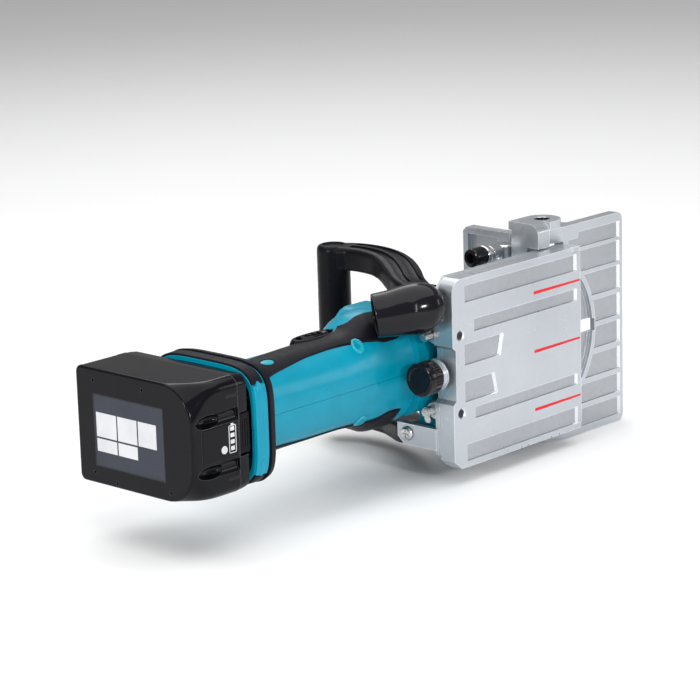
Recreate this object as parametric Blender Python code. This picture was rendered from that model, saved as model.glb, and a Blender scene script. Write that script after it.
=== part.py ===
"""Cordless biscuit joiner, lying on its left side.

The tool's forward direction is +X, its upward direction in use is +Y, and its right side is +Z (up).
Lengths below are in millimetres, measured from the middle of the base's front lower edge. The helpers
turn them into metres, and one empty carries everything to the part's origin under its middle.
"""

import math

import bmesh
import bpy
from mathutils import Matrix, Vector

MM = 0.001
GAP = 0.3                      # clearance left between neighbouring pieces
FACETS = 0.6                   # scales the number of sides of every round piece

# Base and blade cover
BASE_LENGTH = 134.3
BASE_HALF = 64.0
COVER_TOP = 11.8
PLATE_LOW = COVER_TOP + GAP
PLATE_TOP = 14.2
RIM_TOP = 16.0

# Blade and its drive
BLADE_RADIUS = 50.0
BLADE_Y = 10.0
SPINDLE_X = -52.0
PLUNGE = 21.5
MOTOR_Y = 56.5
GEAR_TEETH = 24
PINION_TEETH = 8

# Plunge guides
ROD_Y = 19.5
ROD_Z = 25.5
ROD_RADIUS = 3.4
STOP_Y = 24.0
STOP_Z = -37.5

# Fence and angle guide
HINGE_X = -10.0
HINGE_Y = 24.9
GUIDE_FACE_Y = 14.9
GUIDE_REACH = 66.7
GUIDE_HALF = 75.2
PIVOT_TOP_Z = 81.8
FENCE_BACK_X = -17.0
FENCE_FRONT_X = -9.0
FENCE_TOP_Y = 90.0

# Housing and battery
HOUSING_REAR_X = -303.0
BATTERY_REAR_X = -355.7
BATTERY_Y = 66.9

# D-handle
BAR_X = -93.0
BAR_Y = 143.0
BAR_RADIUS = 11.5
HANDLE_HALF_Z = 64.0

# The part's origin stands under the middle of its box
TOP_Y = BAR_Y + BAR_RADIUS
ORIGIN = ((GUIDE_REACH + BATTERY_REAR_X) / 2, TOP_Y / 2, -GUIDE_HALF)

AXES = {"x": Vector((1, 0, 0)), "y": Vector((0, 1, 0)), "z": Vector((0, 0, 1))}

COLOURS = {
    "cast_aluminium": ((0.62, 0.64, 0.66), 0.38, 0.9),
    "steel": ((0.58, 0.58, 0.57), 0.28, 1.0),
    "blade_steel": ((0.66, 0.66, 0.65), 0.22, 1.0),
    "teal_plastic": ((0.0, 0.29, 0.36), 0.38, 0.0),
    "black_plastic": ((0.022, 0.022, 0.024), 0.34, 0.0),
    "gloss_black": ((0.018, 0.018, 0.02), 0.16, 0.0),
    "rubber": ((0.03, 0.03, 0.032), 0.72, 0.0),
    "copper": ((0.72, 0.36, 0.2), 0.35, 1.0),
    "carbon": ((0.06, 0.06, 0.065), 0.8, 0.0),
    "brass": ((0.74, 0.58, 0.26), 0.3, 1.0),
    "board_green": ((0.03, 0.2, 0.09), 0.5, 0.0),
    "label_grey": ((0.1, 0.11, 0.13), 0.5, 0.0),
}


# ---------------------------------------------------------------- helpers

def clear_scene():
    for obj in list(bpy.data.objects):
        bpy.data.objects.remove(obj, do_unlink=True)


def new_collection(name):
    collection = bpy.data.collections.new(name)
    bpy.context.scene.collection.children.link(collection)
    return collection


def material(name):
    found = bpy.data.materials.get(name)
    if found:
        return found
    colour, roughness, metallic = COLOURS[name]
    made = bpy.data.materials.new(name)
    made.use_nodes = True
    shader = made.node_tree.nodes["Principled BSDF"]
    shader.inputs["Base Color"].default_value = (*colour, 1)
    shader.inputs["Roughness"].default_value = roughness
    shader.inputs["Metallic"].default_value = metallic
    made.diffuse_color = (*colour, 1)
    return made


def add_object(name, bm, smooth_angle=35):
    """A mesh object from a bmesh whose coordinates are in millimetres."""
    bmesh.ops.scale(bm, vec=(MM, MM, MM), verts=bm.verts)
    bmesh.ops.recalc_face_normals(bm, faces=bm.faces)
    mesh = bpy.data.meshes.new(name)
    bm.to_mesh(mesh)
    bm.free()
    mesh.shade_smooth()
    mesh.set_sharp_from_angle(angle=math.radians(smooth_angle))
    obj = bpy.data.objects.new(name, mesh)
    WORK.objects.link(obj)
    return obj


def box(x, y, z, bevel=0.0):
    """A box from three (low, high) pairs, with its edges rounded if bevel is given."""
    bm = bmesh.new()
    bmesh.ops.create_cube(bm, size=1)
    size = (x[1] - x[0], y[1] - y[0], z[1] - z[0])
    bmesh.ops.scale(bm, vec=size, verts=bm.verts)
    middle = Vector(((x[0] + x[1]) / 2, (y[0] + y[1]) / 2, (z[0] + z[1]) / 2))
    bmesh.ops.translate(bm, vec=middle, verts=bm.verts)
    if bevel:
        bmesh.ops.bevel(bm, geom=bm.edges[:], offset=bevel, segments=2, affect="EDGES", profile=0.5)
    return add_object("box", bm)


def frustum(axis, centre, low, high, radius_low, radius_high, sides=32, turn=0.0):
    """A cone's slice along an axis; centre gives the two coordinates across the axis."""
    bm = bmesh.new()
    bmesh.ops.create_cone(bm, cap_ends=True, segments=max(6, round(sides * FACETS)), radius1=radius_low,
                          radius2=radius_high, depth=high - low)
    direction = AXES[axis]
    spin = Vector((0, 0, 1)).rotation_difference(direction).to_matrix()
    bmesh.ops.rotate(bm, cent=(0, 0, 0), matrix=spin, verts=bm.verts)
    if turn:
        quarter = bmesh_turn(axis, turn)
        bmesh.ops.rotate(bm, cent=(0, 0, 0), matrix=quarter, verts=bm.verts)
    across = [a for a in "xyz" if a != axis]
    middle = direction * ((low + high) / 2)
    for name, value in zip(across, centre):
        middle += AXES[name] * value
    bmesh.ops.translate(bm, vec=middle, verts=bm.verts)
    return add_object("cylinder", bm)


def bmesh_turn(axis, degrees):
    return Matrix.Rotation(math.radians(degrees), 3, AXES[axis])


def cylinder(axis, centre, low, high, radius, sides=32, turn=0.0):
    return frustum(axis, centre, low, high, radius, radius, sides, turn)


def tube(axis, centre, low, high, outer, inner, sides=32):
    ring_piece = cylinder(axis, centre, low, high, outer, sides)
    cut(ring_piece, cylinder(axis, centre, low - 1, high + 1, inner, sides))
    return ring_piece


def extruded(points, plane, low, high):
    """A flat outline, given in the plane 'xy', 'xz' or 'yz', made thick along the third axis."""
    third = [a for a in "xyz" if a not in plane][0]
    first, second = AXES[plane[0]], AXES[plane[1]]
    bm = bmesh.new()
    ring_low = [bm.verts.new(first * a + second * b + AXES[third] * low) for a, b in points]
    face = bm.faces.new(ring_low)
    grown = bmesh.ops.extrude_face_region(bm, geom=[face])
    moved = [g for g in grown["geom"] if isinstance(g, bmesh.types.BMVert)]
    bmesh.ops.translate(bm, vec=AXES[third] * (high - low), verts=moved)
    return add_object("extruded", bm)


def oval(centre, half, power=2.0, count=32):
    """Points of a superellipse: power 2 is an ellipse, higher powers are squarer."""
    points = []
    for index in range(count):
        angle = 2 * math.pi * (index + 0.5) / count
        cosine, sine = math.cos(angle), math.sin(angle)
        across = math.copysign(abs(cosine) ** (2 / power), cosine)
        upward = math.copysign(abs(sine) ** (2 / power), sine)
        points.append((centre[0] + half[0] * across, centre[1] + half[1] * upward))
    return points


def lofted(rings):
    """A closed body through rings of equal length, each a list of (x, y, z)."""
    bm = bmesh.new()
    rows = [[bm.verts.new(point) for point in ring_points] for ring_points in rings]
    count = len(rows[0])
    for row, following in zip(rows, rows[1:]):
        for index in range(count):
            after = (index + 1) % count
            bm.faces.new((row[index], row[after], following[after], following[index]))
    bm.faces.new(rows[0])
    bm.faces.new(rows[-1])
    return add_object("lofted", bm)


def loft_x(sections, count=24, shrink=0.0, ends=0.0):
    """A body along X from (x, y centre, half y, half z, power); shrink makes its inner hollow."""
    rings = []
    for number, (x, middle, half_y, half_z, power) in enumerate(sections):
        if number == 0:
            x += ends
        if number == len(sections) - 1:
            x -= ends
        outline = oval((middle, 0), (half_y - shrink, half_z - shrink), power, count)
        rings.append([(x, y, z) for y, z in outline])
    return lofted(rings)


def swept(path, half_widths, power=2.0, count=20):
    """A bar along a path of (x, y, z), its sections square to the path; half widths are
    (in the XY plane, along Z) at each point."""
    rings = []
    for index, point in enumerate(path):
        before = Vector(path[max(index - 1, 0)])
        after = Vector(path[min(index + 1, len(path) - 1)])
        along = (after - before).normalized()
        side = along.cross(AXES["z"]).normalized()
        lift = side.cross(along).normalized()
        outline = oval((0, 0), half_widths[index], power, count)
        rings.append([tuple(Vector(point) + side * a + lift * b) for a, b in outline])
    return lofted(rings)


def combine(target, other, operation):
    modifier = target.modifiers.new(operation.lower(), "BOOLEAN")
    modifier.operation = operation
    modifier.object = other
    modifier.solver = "EXACT"
    WORK.objects.unlink(other)
    CUTTERS.objects.link(other)
    other.hide_render = True
    other.display_type = "WIRE"


def cut(target, *others):
    for other in others:
        combine(target, other, "DIFFERENCE")
    return target


def join(target, *others):
    for other in others:
        combine(target, other, "UNION")
    return target


def keep_inside(target, other):
    combine(target, other, "INTERSECT")
    return target


def finish(obj, name, colour):
    """Names a piece, gives it its material and moves it to the model's collection."""
    obj.name = name
    obj.data.name = name
    obj.data.materials.clear()
    obj.data.materials.append(material(colour))
    WORK.objects.unlink(obj)
    MODEL.objects.link(obj)
    obj.parent = FRAME
    return obj


def put_origin(obj, point):
    """Moves a piece's origin to a point on its joint's axis, leaving its shape in place."""
    shift = Vector(point) * MM
    for vertex in obj.data.vertices:
        vertex.co -= shift
    obj.location = shift


# ---------------------------------------------------------------- base and cover

def long_hole(rear_x, front_x, radius, low, high, steps=12):
    """A hole through Y with round ends, long in X: the path of a cylinder that slides forward."""
    points = []
    for index in range(steps + 1):
        angle = -math.pi / 2 + math.pi * index / steps
        points.append((front_x + radius * math.cos(angle), radius * math.sin(angle)))
    for index in range(steps + 1):
        angle = math.pi / 2 + math.pi * index / steps
        points.append((rear_x + radius * math.cos(angle), radius * math.sin(angle)))
    return extruded(points, "xz", low, high)


def base_outline(inset=0.0):
    """Footprint with its rear corners cut off and a recess for the clamp knob."""
    rear = -BASE_LENGTH + inset
    half = BASE_HALF - inset
    chamfer = 9.0
    recess = 17.0
    half_outline = [(0 - inset, half), (rear + chamfer, half), (rear, half - chamfer),
                    (rear, recess + 2.5), (rear + 3.0, recess)]
    return half_outline + [(x, -z) for x, z in reversed(half_outline)]


def make_base():
    plate = extruded(base_outline(), "xz", PLATE_LOW, RIM_TOP)
    cut(plate, extruded(base_outline(5.0), "xz", PLATE_TOP, RIM_TOP + 1))
    for side in (-1, 1):
        ear = [(14.5, side * 37.5), (14.5, side * 52.0), (43.0, side * 52.0), (48.5, side * 47.0),
               (48.5, side * 37.5)]
        join(plate, extruded(ear, "yz", -136.0, -131.2))
        front_lug = sorted((side * 60.4, side * BASE_HALF))
        lug = [(-8.9, PLATE_LOW + 1), (-8.9, 4.0), (-8.3, 1.6), (-7.3, 0.4), (-0.1, 0.4), (-0.1, PLATE_LOW + 1)]
        join(plate, extruded(lug, "xy", *front_lug))
        cut(plate, cylinder("z", (-4.0, 4.0), *sorted((side * 58.0, side * 62.6)), 1.8, 16))
        support = box((-30.0, -24.0), (PLATE_LOW + 0.5, ROD_Y), sorted((side * 20.0, side * 31.0)))
        join(support, cylinder("x", (ROD_Y, side * ROD_Z), -30.0, -24.0, 5.5, 24))
        join(plate, support)
        rear_post = box((-133.0, -129.0), (PLATE_LOW + 0.5, ROD_Y), sorted((side * 20.0, side * 31.0)))
        join(rear_post, cylinder("x", (ROD_Y, side * ROD_Z), -133.0, -129.0, 4.9, 24))
        join(plate, rear_post)
        cut(plate, cylinder("x", (ROD_Y, side * ROD_Z), -150.0, -23.0, ROD_RADIUS + GAP, 24))
        post_z = sorted((side * 34.0, side * 42.0))
        post = box((-35.0, FENCE_BACK_X - 0.4), (PLATE_LOW + 0.5, 76.0), post_z, 0.8)
        join(plate, post)
        cut(plate, cylinder("x", (39.8, side * 44.2), -150.0, -130.0, 2.9, 20))
    cut(plate, long_hole(SPINDLE_X - 0.6, SPINDLE_X + PLUNGE, 15.2, 10.0, 15.5))
    rear_wall = box((-131.3 + 0.05, -117.0), (PLATE_LOW + 0.4, 20.0), (-9.0, 9.0))
    join(plate, rear_wall)
    cut(plate, cylinder("x", (13.0, 0), -140.0, -110.0, 3.4, 20))
    cut(plate, cylinder("z", (-27.0, 62.0), -48.0, -30.0, 3.3, 20))
    join(plate, box((-88.0, -83.0), (PLATE_LOW + 0.5, 33.0), (STOP_Z - 6.0, STOP_Z + 5.0)))
    cut(plate, cylinder("x", (STOP_Y, STOP_Z), -90.0, -80.0, 2.3, 16))
    cut(plate, box((-140.0, -128.5), (PLATE_LOW - 1, 15.3), (37.0, 54.0)))
    return finish(plate, "base_casting", "cast_aluminium")


def make_cover():
    cover = extruded(base_outline(), "xz", 0.0, COVER_TOP)
    cut(cover, long_hole(SPINDLE_X, SPINDLE_X + PLUNGE, BLADE_RADIUS + 2, 7.0, 14.0, 24))
    cut(cover, long_hole(SPINDLE_X, SPINDLE_X + PLUNGE, 17.0, 1.4, 8.0))
    cut(cover, box((-10.3, 1.0), (9.6, 14.0), (-70.0, 70.0)))
    cut(cover, box((-8.6, 1.2), (5.0, 12.5), (-46.0, 46.0)))
    for side in (-1, 1):
        cut(cover, box((-9.4, 1.0), (-1.0, 14.0), sorted((side * 60.1, side * 70.0))))
        cut(cover, cylinder("z", (-4.0, 4.0), *sorted((side * 54.0, side * 62.0)), 1.8, 16))
        for low_z, high_z, rear_x in ((48.5, 58.5, -118.0), (27.0, 34.0, -92.0)):
            groove = box((rear_x, -3.6), (-1.0, 0.8), sorted((side * low_z, side * high_z)))
            cut(cover, groove)
        cut(cover, cylinder("y", (-126.5, side * 26.3), -1.0, 13.0, 3.2, 24))
    cut(cover, box((-136.0, -110.0), (9.4, 14.0), (-3.6, 3.6)))
    cut(cover, cylinder("x", (13.0, 0), -136.0, -110.0, 3.6, 24))
    dust_way = box((-138.0, -92.0), (7.0, 14.0), (37.0, 54.0))
    cut(cover, dust_way)
    obj = finish(cover, "blade_cover", "cast_aluminium")
    put_origin(obj, (-4.0, 4.0, 0))
    return obj


def make_cover_hinge_pins():
    for side, name in ((-1, "left"), (1, "right")):
        pin = cylinder("z", (-4.0, 4.0), *sorted((side * 55.0, side * 62.3)), 1.5, 20)
        finish(pin, f"cover_hinge_pin_{name}", "steel")


def make_cover_clamp():
    knob = cylinder("x", (13.0, 0), -154.0, -141.0, 11.5, 48)
    for index in range(12):
        angle = 2 * math.pi * index / 12
        y = 13.0 + 11.9 * math.cos(angle)
        z = 11.9 * math.sin(angle)
        cut(knob, cylinder("x", (y, z), -152.0, -140.0, 0.8, 8))
    cut(knob, frustum("x", (13.0, 0), -154.5, -152.0, 8.6, 7.0, 32))
    join(knob, cylinder("x", (13.0, 0), -141.5, -119.0, 3.0, 24))
    obj = finish(knob, "cover_clamp_knob", "black_plastic")
    put_origin(obj, (-147.0, 13.0, 0))
    washer = tube("x", (13.0, 0), -140.7, -135.2, 10.5, 3.4, 40)
    finish(washer, "clamp_washer", "steel")


def make_guide_rods():
    for side, name in ((-1, "left"), (1, "right")):
        rod = cylinder("x", (ROD_Y, side * ROD_Z), -140.0, -22.0, ROD_RADIUS, 24)
        join(rod, cylinder("x", (ROD_Y, side * ROD_Z), -141.5, -137.0, ROD_RADIUS - 0.8, 24))
        finish(rod, f"guide_rod_{name}", "steel")
        spring_coil(f"return_spring_{name}", side * ROD_Z)


def spring_coil(name, z):
    """A compression spring round a guide rod, from the rod's front support to the slide block."""
    front, rear = -30.6, -74.4
    turns, radius, wire = 7, 4.3, 0.45
    curve = bpy.data.curves.new(name, "CURVE")
    curve.dimensions = "3D"
    curve.bevel_depth = wire * MM
    curve.bevel_resolution = 0
    curve.use_fill_caps = True
    steps = turns * 8
    spline = curve.splines.new("POLY")
    spline.points.add(steps)
    for index in range(steps + 1):
        part = index / steps
        angle = 2 * math.pi * turns * part
        x = rear + wire + (front - rear - 2 * wire) * part
        y = ROD_Y + radius * math.cos(angle)
        spline.points[index].co = (x * MM, y * MM, (z + radius * math.sin(angle)) * MM, 1)
    obj = bpy.data.objects.new(name, curve)
    curve.materials.append(material("steel"))
    MODEL.objects.link(obj)
    obj.parent = FRAME


# ---------------------------------------------------------------- blade and gears

def make_blade():
    blade = cylinder("y", (SPINDLE_X, 0), BLADE_Y - 1.3, BLADE_Y + 1.3, BLADE_RADIUS - 3.0, 72)
    teeth = 6
    for index in range(teeth):
        angle = 2 * math.pi * index / teeth
        outline = []
        for radius, lead in ((BLADE_RADIUS - 9.0, -0.20), (BLADE_RADIUS - 3.2, -0.17),
                             (BLADE_RADIUS - 0.2, 0.0), (BLADE_RADIUS - 9.0, 0.0)):
            outline.append((SPINDLE_X + radius * math.cos(angle + lead), radius * math.sin(angle + lead)))
        join(blade, extruded(outline, "xz", BLADE_Y - 1.3, BLADE_Y + 1.3))
        gullet = (SPINDLE_X + 47.5 * math.cos(angle + 0.085), 47.5 * math.sin(angle + 0.085))
        cut(blade, cylinder("y", gullet, 5.0, 15.0, 3.9, 20))
        tip = []
        for radius, lead in ((BLADE_RADIUS - 7.0, -0.04), (BLADE_RADIUS, -0.035),
                             (BLADE_RADIUS, 0.006), (BLADE_RADIUS - 7.0, 0.003)):
            tip.append((SPINDLE_X + radius * math.cos(angle + lead), radius * math.sin(angle + lead)))
        join(blade, extruded(tip, "xz", BLADE_Y - 1.9, BLADE_Y + 1.85))
    cut(blade, cylinder("y", (SPINDLE_X, 0), 5.0, 15.0, 8.3, 40))
    obj = finish(blade, "blade", "blade_steel")
    put_origin(obj, (SPINDLE_X, BLADE_Y, 0))


def make_spindle():
    spindle = cylinder("y", (SPINDLE_X, 0), 2.6, 62.0, 5.0, 32)
    join(spindle, cylinder("y", (SPINDLE_X, 0), 14.4, 21.6, 6.4, 32))
    cut(spindle, box((SPINDLE_X - 1.8, SPINDLE_X + 1.8), (1.0, 5.4), (-1.8, 1.8)))
    finish(spindle, "spindle", "steel")
    flange = tube("y", (SPINDLE_X, 0), BLADE_Y + 1.6, 14.1, 14.0, 5.3, 40)
    join(flange, tube("y", (SPINDLE_X, 0), BLADE_Y - 0.9, BLADE_Y + 2.0, 8.0, 5.3, 40))
    finish(flange, "inner_flange", "steel")
    nut = tube("y", (SPINDLE_X, 0), 3.4, BLADE_Y - 1.6, 14.0, 5.3, 40)
    for index in range(4):
        angle = math.pi / 4 + math.pi * index / 2
        hole = (SPINDLE_X + 10.3 * math.cos(angle), 10.3 * math.sin(angle))
        cut(nut, cylinder("y", hole, 2.0, 6.4, 1.8, 16))
    finish(nut, "lock_nut", "steel")


def teeth_round(count, root_share, tip_share, turn=0.0):
    """Angles round a gear with, for each, whether it lies on a tooth's tip; four a tooth."""
    step = math.pi / count
    corners = []
    for index in range(count):
        middle = 2 * step * (index + turn)
        corners += [(middle - root_share * step, False), (middle - tip_share * step, True),
                    (middle + tip_share * step, True), (middle + root_share * step, False)]
    return corners


def make_gears():
    """An eight-tooth pinion on the armature shaft turns a twenty-four-tooth bevel gear on the spindle."""
    near, far = 12.2, 17.6
    rings = []
    for distance in (near, far):
        pitch = distance * PINION_TEETH / GEAR_TEETH
        ring_points = []
        for angle, on_tip in teeth_round(PINION_TEETH, 0.60, 0.26):
            radius = pitch + (0.5 if on_tip else -0.75)
            ring_points.append((SPINDLE_X - distance, MOTOR_Y + radius * math.cos(angle),
                                radius * math.sin(angle)))
        rings.append(ring_points)
    pinion = lofted(rings)
    join(pinion, cylinder("x", (MOTOR_Y, 0), SPINDLE_X - far - 6.0, SPINDLE_X - far + 0.4, 4.8, 30))
    cut(pinion, cylinder("x", (MOTOR_Y, 0), SPINDLE_X - far - 8, SPINDLE_X - near + 2.0, 3.2, 24))
    finish(pinion, "bevel_pinion", "steel")
    back = MOTOR_Y - far / 3 - 3.5
    seat = MOTOR_Y - near / 3 - 2.2
    rings = []
    for radius, level, toothed in ((near - 1.0, back, False), (far, back, False), (far, None, True),
                                   (near, None, True), (near - 1.0, seat, False)):
        ring_points = []
        for angle, on_tip in teeth_round(GEAR_TEETH, 0.60, 0.26, 0.5):
            y = level
            if toothed:
                y = MOTOR_Y - radius * PINION_TEETH / GEAR_TEETH + (0.5 if on_tip else -0.75)
            ring_points.append((SPINDLE_X + radius * math.cos(angle), y, radius * math.sin(angle)))
        rings.append(ring_points)
    gear = lofted(rings)
    join(gear, cylinder("y", (SPINDLE_X, 0), 34.0, back + 0.5, 9.0, 32))
    cut(gear, cylinder("y", (SPINDLE_X, 0), 30.0, 60.0, 5.3, 32))
    finish(gear, "bevel_gear", "steel")


def make_bearings():
    for name, axis, centre, low, high, outer, inner in (
            ("spindle_bearing", "y", (SPINDLE_X, 0), 22.0, 31.0, 13.0, 5.3),
            ("armature_bearing_front", "x", (MOTOR_Y, 0), -140.0, -132.0, 12.0, 3.3),
            ("armature_bearing_rear", "x", (MOTOR_Y, 0), -259.0, -252.0, 9.5, 3.3)):
        bearing = tube(axis, centre, low, high, outer, inner, 32)
        finish(bearing, name, "steel")


# ---------------------------------------------------------------- gear housing

def make_gear_housing():
    """Nose round the spindle, a body running back to the motor, and two bosses on the guide rods."""
    nose = cylinder("y", (SPINDLE_X, 0), 27.0, 78.0, 22.0, 48)
    join(nose, cylinder("y", (SPINDLE_X, 0), 15.2, 28.0, 16.4, 40))
    body = loft_x([(-139.6, 58.0, 33.0, 32.0, 4.0), (-118.0, 57.0, 32.0, 31.0, 4.0),
                   (-86.0, 54.5, 27.0, 24.0, 3.4), (-54.0, 53.0, 24.0, 21.0, 3.0)])
    join(nose, body)
    join(nose, box((-128.0, -122.0), (19.5, 36.0), (-38.0, -26.0)))
    for side in (-1, 1):
        boss = cylinder("x", (ROD_Y, side * ROD_Z), -110.0, -75.0, 5.0, 24)
        join(boss, box((-110.0, -75.0), (17.5, 32.0), sorted((side * 14.0, side * 27.0))))
        join(nose, boss)
        cut(nose, cylinder("x", (ROD_Y, side * ROD_Z), -145.0, -40.0, ROD_RADIUS + GAP, 24))
    cut(nose, cylinder("x", (STOP_Y, STOP_Z + 5.2), -132.0, -118.0, 2.4, 16))
    cut(nose, cylinder("y", (SPINDLE_X, 0), 10.0, 40.0, 7.2, 32))
    cut(nose, cylinder("y", (SPINDLE_X, 0), 21.7, 31.3, 13.3, 40))
    cut(nose, cylinder("y", (SPINDLE_X, 0), 31.2, 60.1, 19.2, 48))
    cut(nose, cylinder("y", (SPINDLE_X, 0), 60.0, 67.3, 5.3, 32))
    inner = loft_x([(-128.0, 57.5, 27.0, 26.0, 4.0), (-118.0, 57.0, 26.0, 26.0, 3.6),
                    (-86.0, 54.5, 19.0, 19.0, 3.0), (-56.0, 53.0, 14.0, 15.0, 3.0)])
    cut(nose, inner)
    cut(nose, cylinder("x", (MOTOR_Y, 0), -145.0, -120.0, 12.3, 32))
    cut(nose, cylinder("z", (SPINDLE_X, 40.5), 16.0, 30.0, 3.4, 20))
    finish(nose, "gear_housing", "cast_aluminium")


def make_shaft_lock():
    pin = cylinder("z", (SPINDLE_X, 40.5), 19.6, 25.0, 3.0, 20)
    join(pin, cylinder("z", (SPINDLE_X, 40.5), 24.9, 29.0, 5.2, 24))
    cut(pin, frustum("z", (SPINDLE_X, 40.5), 28.2, 29.6, 3.2, 4.6, 24))
    obj = finish(pin, "shaft_lock_button", "black_plastic")
    put_origin(obj, (SPINDLE_X, 40.5, 25.0))


def make_depth_stop():
    turret = cylinder("x", (STOP_Y, STOP_Z), -97.0, -88.4, 7.2, 30)
    for index in range(6):
        angle = 2 * math.pi * index / 6 + math.pi / 6
        y, z = STOP_Y + 4.6 * math.cos(angle), STOP_Z + 4.6 * math.sin(angle)
        cut(turret, cylinder("x", (y, z), -99.0, -96.4 + 0.9 * index, 1.9, 12))
    join(turret, cylinder("x", (STOP_Y, STOP_Z), -88.6, -84.0, 2.0, 16))
    obj = finish(turret, "stopper_turret", "brass")
    put_origin(obj, (-92.0, STOP_Y, STOP_Z))
    screw = cylinder("x", (STOP_Y, STOP_Z + 5.2), -131.0, -119.0, 2.0, 20)
    join(screw, cylinder("x", (STOP_Y, STOP_Z + 5.2), -133.4, -130.8, 2.9, 8))
    finish(screw, "depth_adjusting_screw", "steel")


# ---------------------------------------------------------------- motor unit

HOUSING_SECTIONS = [
    (-300.0, 59.0, 44.0, 37.0, 4.5),
    (-285.0, 59.0, 43.0, 36.5, 4.5),
    (-278.5, 57.5, 32.0, 31.0, 3.2),
    (-274.0, 56.7, 27.5, 28.0, 2.5),
    (-225.0, 56.3, 27.0, 28.0, 2.3),
    (-196.0, 56.4, 27.0, 28.5, 2.3),
    (-178.0, 57.5, 27.8, 31.5, 2.4),
    (-165.0, 61.5, 31.4, 38.5, 2.2),
    (-152.0, 64.0, 33.5, 40.5, 2.0),
    (-140.0, 64.0, 33.5, 40.0, 2.0),
]


def make_motor_housings():
    for side, name in ((-1, "left"), (1, "right")):
        half = loft_x(HOUSING_SECTIONS, 32)
        cut(half, loft_x(HOUSING_SECTIONS, 32, shrink=2.6, ends=2.6))
        cut(half, box((-310.0, -294.0), (30.0, 90.0), (-24.0, 24.0)))
        cut(half, cylinder("x", (MOTOR_Y, 0), -150.0, -130.0, 24.0, 40))
        keep_inside(half, box((-320.0, -120.0), (0.0, 120.0), sorted((side * 0.15, side * 60.0))))
        if side > 0:
            cut(half, box((-212.0, -178.0), (61.0, 71.0), (20.0, 40.0)))
        for x in (-238.0, -186.0):
            cut(half, cylinder("z", (x, 78.5), *sorted((side * 8.0, side * 50.0)), 2.6, 16))
        finish(half, f"motor_housing_{name}", "teal_plastic")


def grown(sections, amount):
    return [(x, y, half_y + amount, half_z + amount, power) for x, y, half_y, half_z, power in sections]


def make_grips():
    """Soft overlays on both flanks, following the housing and wider towards its rear."""
    for side, name in ((-1, "left"), (1, "right")):
        skin = loft_x(grown(HOUSING_SECTIONS, 1.5)[3:8], 32)
        cut(skin, loft_x(grown(HOUSING_SECTIONS, GAP), 32))
        outline = [(-271.0, 38.0), (-232.0, 45.5), (-200.0, 47.5), (-172.0, 44.0), (-167.0, 44.0),
                   (-167.0, 62.0), (-182.0, 73.0), (-214.0, 76.0), (-271.0, 70.0)]
        keep_inside(skin, extruded(outline, "xy", *sorted((side * 8.0, side * 60.0))))
        if side > 0:
            cut(skin, box((-214.0, -176.0), (59.0, 73.0), (15.0, 60.0)))
        finish(skin, f"grip_rubber_{name}", "rubber")


def make_slide_switch():
    knob = box((-207.0, -183.0), (62.0, 70.0), (25.5, 33.5), 1.0)
    cut(knob, cylinder("y", (-197.0, 46.0), 55.0, 76.0, 15.0, 32))
    obj = finish(knob, "slide_switch", "black_plastic")
    put_origin(obj, (-195.0, 66.0, 30.0))


def make_bumper():
    """Rubber bumper that rings the battery holder's front shoulder."""
    outline = oval((59.0, 0), (45.6, 38.9), 4.5, 32)
    ring_piece = extruded(outline, "yz", -292.5, -286.5)
    cut(ring_piece, extruded(oval((59.0, 0), (43.9, 37.3), 4.5, 32), "yz", -295.0, -284.0))
    finish(ring_piece, "holder_bumper", "rubber")


def make_motor():
    field = tube("x", (MOTOR_Y, 0), -236.0, -182.0, 24.0, 21.4, 40)
    finish(field, "motor_yoke", "steel")
    for side, name in ((-1, "left"), (1, "right")):
        magnet = tube("x", (MOTOR_Y, 0), -232.0, -186.0, 21.1, 17.2, 40)
        span_z = sorted((side * 4.0, side * 30.0))
        keep_inside(magnet, box((-240.0, -180.0), (MOTOR_Y - 15.0, MOTOR_Y + 15.0), span_z))
        finish(magnet, f"field_magnet_{name}", "carbon")
    core = cylinder("x", (MOTOR_Y, 0), -230.0, -188.0, 16.4, 48)
    for index in range(12):
        angle = 2 * math.pi * index / 12
        y, z = MOTOR_Y + 13.6 * math.cos(angle), 13.6 * math.sin(angle)
        cut(core, cylinder("x", (y, z), -232.0, -186.0, 1.8, 8))
    cut(core, cylinder("x", (MOTOR_Y, 0), -232.0, -186.0, 3.3, 24))
    finish(core, "armature_core", "steel")
    windings = tube("x", (MOTOR_Y, 0), -187.4, -180.5, 15.6, 3.6, 32)
    join(windings, tube("x", (MOTOR_Y, 0), -237.5, -230.6, 15.6, 3.6, 32))
    for index in range(12):
        angle = 2 * math.pi * index / 12
        y, z = MOTOR_Y + 13.6 * math.cos(angle), 13.6 * math.sin(angle)
        join(windings, cylinder("x", (y, z), -231.0, -187.0, 1.2, 8))
    finish(windings, "armature_windings", "copper")
    commutator = tube("x", (MOTOR_Y, 0), -250.0, -238.4, 9.0, 3.3, 24)
    finish(commutator, "commutator", "copper")
    shaft = cylinder("x", (MOTOR_Y, 0), -261.0, -72.0, 3.0, 24)
    finish(shaft, "armature_shaft", "steel")
    fan = tube("x", (MOTOR_Y, 0), -176.0, -165.0, 6.5, 3.3, 24)
    join(fan, tube("x", (MOTOR_Y, 0), -167.5, -165.8, 22.8, 6.0, 40))
    for index in range(8):
        angle = 45 * index
        vane = box((-175.0, -167.0), (5.8, 22.2), (-0.6, 0.6))
        turn_about_motor(vane, angle)
        join(fan, vane)
    finish(fan, "cooling_fan", "black_plastic")


def turn_about_motor(obj, degrees):
    """Turns a piece made round the X axis by an angle, then lifts it to the motor's axis."""
    turn = bmesh_turn("x", degrees).to_4x4()
    obj.data.transform(turn)
    for vertex in obj.data.vertices:
        vertex.co.y += MOTOR_Y * MM


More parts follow.
